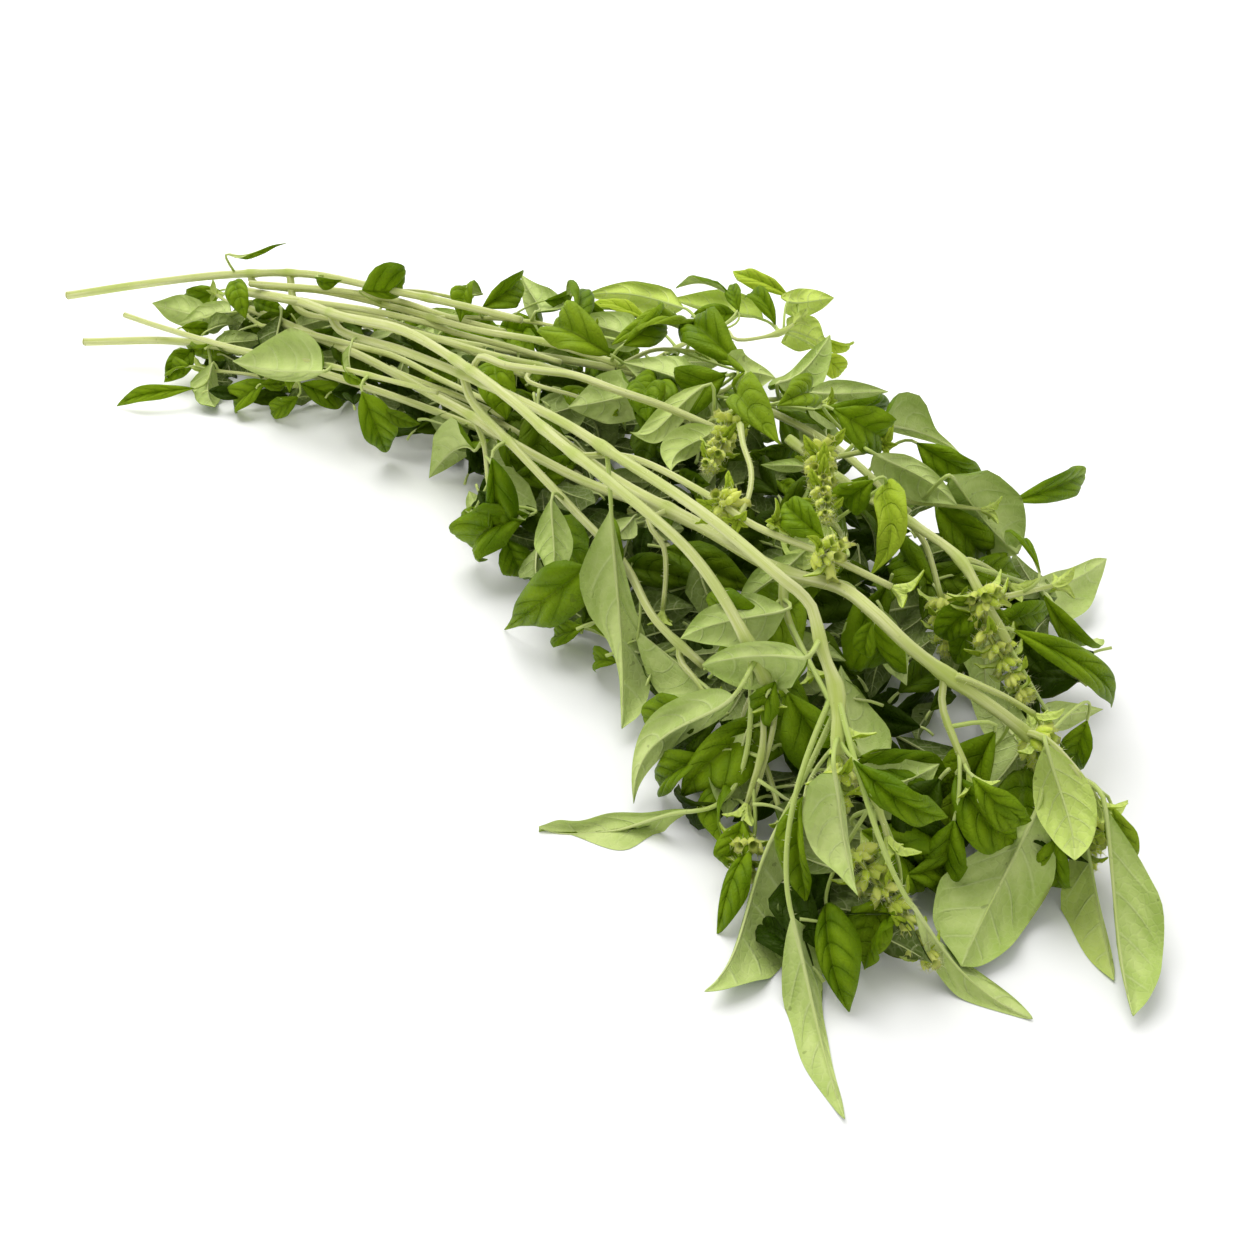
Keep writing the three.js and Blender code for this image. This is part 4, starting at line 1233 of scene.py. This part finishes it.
def leaf_top_material():
    # On the upper face the dark vein colour is partly the veins' own colour and partly painted
    # shade in their grooves.
    return leaf_material(
        "leaf_top", painted_shade=srgb(30, 50, 0), deep=srgb(82, 114, 2), plain=srgb(140, 168, 24),
        young=srgb(190, 210, 62), vein=srgb(62, 92, 0), glow=srgb(180, 214, 0), vein_share=0.26,
        net_share=0.06, roughness=0.46, glow_share=0.28, sheen=0.0, relief=-1.6)


def leaf_under_material():
    return leaf_material(
        "leaf_under", painted_shade=srgb(80, 102, 30), deep=srgb(168, 194, 90), plain=srgb(222, 236, 152),
        young=srgb(214, 232, 108), vein=srgb(232, 242, 176), glow=srgb(186, 214, 40),
        vein_share=0.36, net_share=0.12, roughness=0.6, glow_share=0.24, sheen=0.08, relief=1.3)


def stem_material(name, ridge, groove, node_colour, roughness, sheen):
    """A streaky rod, paler on its ridges (trait 1) and greener at its nodes (tone 1)."""
    paint = Paint(name)
    flow = paint.value("flow", "Vector")
    streaks = paint.noise(3.4, 4.0, 0.6, paint.stretched(flow, (1.0, 1.0, 0.7)))
    share = paint.times(paint.value("trait"), 0.45)
    share = paint.plus(share, paint.between(streaks, 0.35, 0.68, 0.0, 0.55))
    colour = paint.blend(share, groove, ridge)
    patches = paint.between(paint.noise(36.0), 0.42, 0.75, 0.0, 0.5)
    colour = paint.blend(patches, colour, node_colour)
    colour = paint.blend(paint.times(paint.value("tone"), 0.6), colour, node_colour)
    specks = paint.between(paint.noise(600.0, 2.0), 0.68, 0.76)
    colour = paint.blend(paint.times(specks, 0.3), colour, srgb(120, 134, 60))
    skin = {
        "Base Color": colour,
        "Roughness": paint.between(streaks, 0.3, 0.7, roughness - 0.08, roughness + 0.08),
        "Specular IOR Level": 0.4,
        "Sheen Weight": sheen,
        "Sheen Roughness": 0.5,
    }
    fibres = paint.noise(5.0, place=paint.stretched(flow, (5.0, 5.0, 1.2)))
    return paint.finish(skin, 0.12, height=fibres, strength=0.45)


def main_stem_material():
    return stem_material(
        "stem_skin", ridge=srgb(226, 228, 170), groove=srgb(196, 206, 108),
        node_colour=srgb(176, 196, 76), roughness=0.42, sheen=0.04)


def petiole_material():
    return stem_material(
        "petiole_skin", ridge=srgb(224, 230, 166), groove=srgb(188, 208, 100),
        node_colour=srgb(174, 200, 76), roughness=0.46, sheen=0.06)


def calyx_material():
    """Hairy young green, with painted shade at the foot and down inside each bell (trait 1)."""
    paint = Paint("calyx_skin")
    patches = paint.between(paint.noise(150.0), 0.35, 0.68)
    fine = paint.noise(1300.0, 3.0, 0.6)
    colour = paint.blend(patches, srgb(206, 226, 50), srgb(246, 250, 120))
    tone = paint.between(paint.value("tone"), 0.3, 1.1)
    colour = paint.blend(tone, colour, srgb(252, 254, 150))
    # Painted shade at the foot and down inside the bell.
    colour = paint.blend(paint.times(paint.value("trait"), 0.7), colour, srgb(96, 124, 10))
    colour = paint.blend(paint.between(fine, 0.5, 0.75, 0.0, 0.35), colour, srgb(232, 242, 160))
    rough = paint.between(fine, 0.3, 0.7, 0.5, 0.68)
    skin = {"Base Color": colour, "Roughness": rough, "Sheen Weight": 0.2}
    return paint.finish(skin, 0.35, height=fine)


def hair_material():
    paint = Paint("hair_strand")
    patches = paint.noise(90.0, 2.0)
    colour = paint.blend(patches, srgb(240, 246, 160), srgb(255, 255, 226))
    rough = paint.between(patches, 0.3, 0.7, 0.35, 0.5)
    return paint.finish({"Base Color": colour, "Roughness": rough}, 0.4)


def cut_material():
    """The pale pith of a cut stem with a greener, slightly browned rim."""
    paint = Paint("cut_face")
    across, over, _ = paint.flow_parts()
    squares = paint.plus(paint.maths("POWER", across, 2.0), paint.maths("POWER", over, 2.0))
    fibres = paint.noise(1400.0)
    rim = paint.between(squares, 0.3, 0.9)
    colour = paint.blend(rim, srgb(232, 232, 196), srgb(168, 176, 96))
    brown = paint.between(fibres, 0.45, 0.7, 0.0, 0.5)
    colour = paint.blend(brown, colour, srgb(178, 164, 106))
    rough = paint.between(fibres, 0.3, 0.7, 0.7, 0.85)
    return paint.finish({"Base Color": colour, "Roughness": rough}, height=fibres, depth=0.0002)


def floor_material():
    paint = Paint("pale_floor")
    colour = paint.blend(paint.noise(30.0, 4.0), srgb(246, 246, 245), srgb(250, 250, 249))
    return paint.finish({"Base Color": colour, "Roughness": 0.85, "Specular IOR Level": 0.1})


# ---------------------------------------------------------------- the measured pieces

def nearest_route(place, routes):
    return min(routes.values(), key=lambda points: norms(points - place).min())


def from_the_stem(points):
    """A shoot's route, begun on the stem that it grows from."""
    start = vector(points[0])
    stem = nearest_route(start, stem_routes)
    if 1.0 < norms(stem - start).min() < STEM_IN_REACH:
        points = [petiole_origin(stem, start), *points]
    return route(points)


def node_places():
    """For each stem, the places where a petiole, a side shoot or another stem leaves it."""
    places = {name: [] for name in all_routes}
    for stem, row in LARGE_LEAVES.values():
        places[stem].append(petiole_origin(stem_routes[stem], vector(row[:3])))
    for name, points in all_routes.items():
        for other, other_points in stem_routes.items():
            gap = norms(other_points - points[0])
            if other != name and gap.min() < ROUTE_IS_NEAR:
                places[other].append(other_points[gap.argmin()])
    return places


def build_stems():
    places = node_places()
    for name, (start_radius, end_radius, _) in STEMS.items():
        piece = Piece(name + "_shape")
        points = stem_routes[name]
        path, radii = add_stem(piece, points, start_radius, end_radius, places[name], name)
        if name in CUT_ENDS:
            add_cut_end(piece, path, radii[0])
        dice = random.Random(name + " whorls")
        for place in STEM_WHORLS.get(name, []):
            i = int(norms(path - place).argmin())
            way = directions(path)[i]
            for shift in (-1.2, 1.6):
                place = path[i] + way * shift
                add_whorl(piece, place, way, STEM_WHORL_RADIUS, CALYX_LENGTH, dice)
        for seed, place, way, size in STEM_BUDS.get(name, []):
            add_tip_buds(piece, vector(place), unit(vector(way)), seed, size)
        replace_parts(piece.finish("stem"), name)


def build_spikes():
    for name, (foot, tip) in SPIKES.items():
        piece = Piece(name + "_shape")
        add_spike(piece, vector(foot), vector(tip), name)
        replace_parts(piece.finish("flower"), name)


def build_large_leaves():
    for name, (stem, row) in LARGE_LEAVES.items():
        piece = Piece(name + "_shape")
        stalk = add_leaf(piece, stem_routes[stem], row, name, FINE_LARGE, sides=8)
        radii = np.full(len(stalk), PETIOLE_RADIUS)
        hairs_on_rod(piece, stalk, radii, 1.0, PETIOLE_HAIR, name)
        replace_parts(piece.finish("leaf"), name)


def build_side_shoots():
    for name, (_, leaves) in SIDE_SHOOTS.items():
        piece = Piece(name + "_shape")
        axis = shoot_routes[name]
        nodes = [petiole_origin(axis, vector(row[:3])) for row in leaves]
        add_stem(piece, axis, SHOOT_RADIUS * 1.1, SHOOT_RADIUS * 0.7, nodes, name, hairy=1.0)
        for i, row in enumerate(leaves):
            add_leaf(piece, axis, row, f"{name} {i}", FINE_SHOOT, SHOOT_TONES.get(name, 0.3))
        add_tip_buds(piece, axis[-1], directions(axis)[-1], name + " tip", 0.8)
        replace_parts(piece.finish("leaf"), name)


def build_loose_leaves():
    """The smaller leaves and twigs between the large ones."""
    for group, leaves in LOOSE_LEAVES.items():
        piece = Piece(group)
        for i, row in enumerate(leaves):
            stem = nearest_route(vector(row[:3]), all_routes)
            add_leaf(piece, stem, row, f"{group} {i}", FINE_LOOSE)
        piece.finish("leaf")
    piece = Piece("thin_twigs")
    for name, points in INNER_STEMS.items():
        add_stem(piece, route(points), *INNER_STEM_RADII, [], name)
    for name, points in twig_routes.items():
        add_stem(piece, points, *TWIG_RADII, [points[0], points[-1]], name, hairy=1.5)
        add_tip_buds(piece, points[-1], directions(points)[-1], name + " tip", 0.7)
    piece.finish("stem")


# ---------------------------------------------------------------- the outline of the bunch

def cad_surface():
    """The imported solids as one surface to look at."""
    corners, faces = [], []
    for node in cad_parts.values():
        base = len(corners)
        corners.extend(vertex.co / MM for vertex in node.data.vertices)
        faces.extend([base + k for k in face.vertices] for face in node.data.polygons)
    return BVHTree.FromPolygons(corners, faces)


def surface_samples():
    """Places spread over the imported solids: corners, and shares of the way between them."""
    samples = []
    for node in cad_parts.values():
        mesh = node.data
        corners = np.zeros(len(mesh.vertices) * 3)
        mesh.vertices.foreach_get("co", corners)
        corners = corners.reshape(-1, 3) / MM
        mesh.calc_loop_triangles()
        faces = np.zeros(len(mesh.loop_triangles) * 3, int)
        mesh.loop_triangles.foreach_get("vertices", faces)
        a, b, c = (corners[faces.reshape(-1, 3)[:, k]] for k in range(3))
        last = SAMPLE_STEPS - 1
        for i in range(SAMPLE_STEPS):
            for j in range(SAMPLE_STEPS - i):
                samples.append(a + (b - a) * (i / last) + (c - a) * (j / last))
    return np.vstack(samples)


def widened(grid):
    """The grid grown by one cell on all four sides."""
    wide = grid.copy()
    for shift in ((1, 0), (-1, 0), (0, 1), (0, -1)):
        wide |= np.roll(grid, shift, axis=(0, 1))
    return wide


def without_holes(grid):
    """The grid with every gap filled that the outside does not reach."""
    outside = np.zeros(grid.shape, bool)
    outside[[0, -1]] = True
    outside[:, [0, -1]] = True
    reached = 0
    while outside.sum() > reached:
        reached = outside.sum()
        outside = widened(outside) & ~grid
        outside[[0, -1]] = True
    return ~outside


def outline_grid(cast, setback):
    """The outline of places cast on the floor, with the gaps between them closed: a grid of
    cells, and the place of its first corner."""
    low = cast.min(0) - 10 * CELL
    size = np.ceil((cast.max(0) - low) / CELL).astype(int) + 10
    grid = np.zeros(size, bool)
    spots = ((cast - low) / CELL).astype(int)
    grid[spots[:, 0], spots[:, 1]] = True
    for _ in range(CLOSING):
        grid = widened(grid)
    grid = without_holes(grid)
    for _ in range(CLOSING + setback):
        grid = ~widened(~grid)
    return grid, low


def with_open_places(outline):
    """The outline without the places where the floor stays in sight."""
    grid, low = outline
    columns, rows = np.indices(grid.shape)
    for x, y, radius in OPEN_PLACES:
        across = low[0] + (columns + 0.5) * CELL - x
        along = low[1] + (rows + 0.5) * CELL - y
        grid &= across ** 2 + along ** 2 > radius ** 2
    return grid, low


def inside_outline(outline, spots):
    grid, low = outline
    places = ((spots - low) / CELL).astype(int)
    if (places < 0).any() or (places >= grid.shape).any():
        return False
    return bool(grid[places[:, 0], places[:, 1]].all())


def cast_on_floor(points):
    """Where the line from the open side through each point meets the floor."""
    share = OPEN_SIDE[2] / (OPEN_SIDE[2] - points[..., 2:3])
    return OPEN_SIDE[:2] + (points[..., :2] - OPEN_SIDE[:2]) * share


def is_hidden(surface, spot, way, gap):
    """Whether a solid stands that way from the spot, further off than the gap."""
    return surface.ray_cast(Vector(spot + way * gap), Vector(way))[0] is not None


def floor_spot(low, i, j):
    """The middle of a cell."""
    return np.array([*(low + (np.array([i, j]) + 0.5) * CELL), 0.0])


def holes_in_sight(outline, surface):
    """The cells of the outline through which the floor can be seen from the open side."""
    grid, low = outline
    holes = np.zeros(grid.shape, bool)
    for i, j in zip(*np.nonzero(grid)):
        spot = floor_spot(low, i, j)
        holes[i, j] = not is_hidden(surface, spot, unit(OPEN_SIDE - spot), 0.5)
    return holes


# ---------------------------------------------------------------- seeded leaves

def low_leaf(dice, outline, holes):
    """A leaf near the floor that closes one of the holes, as a row like those in the tables."""
    cells = np.argwhere(holes)
    spot = floor_spot(outline[1], *cells[dice.randrange(len(cells))])
    way = unit(OPEN_SIDE - spot)
    middle = spot + way * dice.uniform(3, 24) / way[2]
    angle = dice.uniform(0, FULL_TURN)
    heading = unit(np.array([math.cos(angle), math.sin(angle), dice.uniform(-0.35, 0.1)]))
    length = dice.uniform(12, 32)
    foot = middle - heading * length / 2
    tip = middle + heading * length / 2
    foot[2] = max(foot[2], 3.1)
    tip[2] = max(tip[2], 0.6)
    turn = dice.uniform(-40, 40) + (180 if dice.random() < 0.4 else 0)
    width = length * dice.uniform(0.44, 0.58)
    return (*foot, *tip, width, turn, dice.uniform(5, 30), length * 0.08)


def heap_leaf(dice, routes):
    """A leaf on one of the routes in the heap, as a row like those in the tables."""
    axis = dice.choice(routes)
    i = dice.randrange(4, len(axis) - 1)
    along = unit(axis[i] - axis[i - 1])
    radial = round_about(*square_to(along, UP), dice.uniform(0, FULL_TURN))
    reach = dice.uniform(6, 20)
    length = dice.uniform(18, 40)
    foot = axis[i] + unit(radial + along * dice.uniform(0.1, 0.9)) * reach
    heading = radial * dice.uniform(0.2, 1.0) + along * dice.uniform(-0.3, 0.9)
    heading = unit(heading - UP * dice.uniform(0.0, 0.9))
    tip = foot + heading * length
    if tip[2] < 1.5:
        tip[2] = dice.uniform(0.5, 1.5)
    width = length * dice.uniform(0.42, 0.56)
    turn = dice.uniform(-60, 60) + (180 if dice.random() < 0.4 else 0)
    return (*foot, *tip, width, turn, dice.uniform(8, 38), length * dice.uniform(0.08, 0.18))


def close_holes(holes, low, row):
    """Takes the cells that a leaf hides off the holes."""
    foot, tip, width, *_ = read_row(row)
    side = unit(np.cross(tip - foot, OPEN_SIDE - foot))
    for along in np.linspace(0.1, 0.9, 9):
        for across in np.linspace(-0.8, 0.8, 7):
            share = math.sin(math.pi * along) * across / 2
            spot = foot + (tip - foot) * along + side * width * share
            i, j = ((cast_on_floor(spot) - low) / CELL).astype(int)
            holes[i, j] = False


def in_the_heap(row, surface, outline, plan, taken, room):
    """The places that a leaf takes up, if it lies inside the bunch, has room, hides little of
    the measured pieces from the open side and is hardly in sight from there high up."""
    foot, tip, width, turn, _, bow, _ = read_row(row)
    upper = upper_side(foot, tip, turn)
    side = np.cross(unit(tip - foot), upper)
    middle = (foot + tip) / 2 + upper * bow
    spots = np.array([
        foot, tip, middle, middle + side * width * 0.4, middle - side * width * 0.4,
        (middle + tip) / 2, (middle + foot) / 2])
    inner = spots[1:]
    if min(foot[2], middle[2]) < LOWEST_FOOT or tip[2] < LOWEST_TIP:
        return None
    if not inside_outline(outline, cast_on_floor(spots)) or not inside_outline(plan, spots[:, :2]):
        return None
    if len(taken) and norms(taken[None] - inner[:, None]).min() < room:
        return None
    covering = 0
    for spot in spots:
        way = unit(OPEN_SIDE - spot)
        if not is_hidden(surface, spot, way, SIGHT_GAP):
            covering += is_hidden(surface, spot, -way, SIGHT_GAP)
            covering += 2 * (spot[2] > FILL_IN_SIGHT)
    if covering > (2 if room < FILL_ROOM else 1):
        return None
    if any(surface.find_nearest(Vector(spot))[3] < room / 4 for spot in inner):
        return None
    return inner


def is_cleared(spots):
    """Whether a leaf at these places reaches into a cleared place."""
    return any(norms(spots - middle).min() < radius for *middle, radius in CLEARED_PLACES)


def build_fill():
    """Seeded leaves that make the bunch dense behind, below and between the measured ones."""
    dice = random.Random("holy basil fill")
    surface = cad_surface()
    samples = surface_samples()
    outline = with_open_places(outline_grid(cast_on_floor(samples), SETBACK))
    plan = outline_grid(samples[:, :2], 0)
    low, high = samples.min(0) + 1, samples.max(0) - 1
    low[0] = FILL_FROM
    routes = [points[points[:, 0] > FILL_FROM] for points in all_routes.values()]
    routes = [points for points in routes if len(points) > 8]
    holes = holes_in_sight(outline, surface)
    pieces = [Piece(f"inner_leaves_{k + 1}") for k in range(FILL_PIECES)]
    taken = np.zeros((0, 3))
    placed = 0
    for attempt in range(LOW_TRIES + FILL_TRIES):
        low_pass = attempt < LOW_TRIES
        if low_pass and (placed >= LOW_LEAVES or not holes.any()):
            continue
        if placed >= LOW_LEAVES + FILL_LEAVES:
            break
        room = LOW_ROOM if low_pass else FILL_ROOM
        row = low_leaf(dice, outline, holes) if low_pass else heap_leaf(dice, routes)
        spots = in_the_heap(row, surface, outline, plan, taken, room)
        if spots is None or (spots < low).any() or (spots > high).any():
            continue
        taken = np.vstack([taken, spots])
        if low_pass:
            close_holes(holes, outline[1], row)
        # Painted shade: leaves low in the heap get a tone far below zero, so they are darker the
        # lower they lie.
        tone = 1.1 * smooth(spots[:, 2].mean(), 8.0, 34.0)
        tone = -1.05 + tone + dice.uniform(-0.25, 0.35)
        if not is_cleared(spots):
            piece = pieces[placed % len(pieces)]
            add_leaf(piece, None, row, f"fill {attempt}", FINE_SMALL, tone, sides=4)
        placed += 1
    for piece in pieces:
        if piece.count:
            piece.finish("leaf")


# ---------------------------------------------------------------- floor, light and camera

def add_floor():
    mesh = bpy.data.meshes.new("floor")
    signs = [(-1, -1), (1, -1), (1, 1), (-1, 1)]
    corners = [(x * FLOOR_REACH, y * FLOOR_REACH, 0) for x, y in signs]
    mesh.from_pydata(corners, [], [(0, 1, 2, 3)])
    mesh.materials.append(floor_material())
    floor = add_object("floor", mesh)


def add_top_light():
    light = bpy.data.lights.new("top_light", "AREA")
    light.shape = "RECTANGLE"
    light.size = TOP_LIGHT_SIZE
    light.size_y = TOP_LIGHT_SIZE
    light.energy = TOP_LIGHT_POWER
    thing = add_object("top_light", light)
    thing.location = TOP_LIGHT_PLACE
    thing.rotation_euler = (-thing.location).to_track_quat("-Z", "Y").to_euler()


def add_world():
    world = bpy.data.worlds.new("studio")
    world.use_nodes = True
    background = world.node_tree.nodes["Background"]
    background.inputs["Color"].default_value = (1.0, 1.0, 1.0, 1.0)
    background.inputs["Strength"].default_value = WORLD_LIGHT
    bpy.context.scene.world = world


def add_camera():
    camera = bpy.data.cameras.new("camera")
    camera.sensor_width = FILM_WIDTH
    camera.lens = LENS
    thing = add_object("camera", camera)
    thing.location = OPEN_SIDE * MM
    thing.rotation_euler = (math.radians(CAMERA_TILT), 0.0, math.radians(CAMERA_TURN))
    bpy.context.scene.camera = thing


# ---------------------------------------------------------------- everything in its place

# One material for each of the slots TOP to CUT.
palette = [
    leaf_top_material(),
    leaf_under_material(),
    main_stem_material(),
    petiole_material(),
    calyx_material(),
    hair_material(),
    cut_material(),
]

stem_routes = {name: route(points) for name, (_, _, points) in STEMS.items()}
for name, parent in BRANCHES.items():
    points = STEMS[name][2]
    start = petiole_origin(stem_routes[parent], vector(points[0]))
    stem_routes[name] = route([start, *points])
shoot_routes = {name: from_the_stem(points) for name, (points, _) in SIDE_SHOOTS.items()}
twig_routes = {name: from_the_stem(points) for name, points in TWIGS.items()}
all_routes = {**stem_routes, **shoot_routes, **twig_routes}

build_stems()
build_spikes()
build_large_leaves()
build_side_shoots()
build_loose_leaves()
build_fill()

add_floor()
add_top_light()
add_world()
add_camera()
bpy.context.scene.view_settings.view_transform = "Standard"
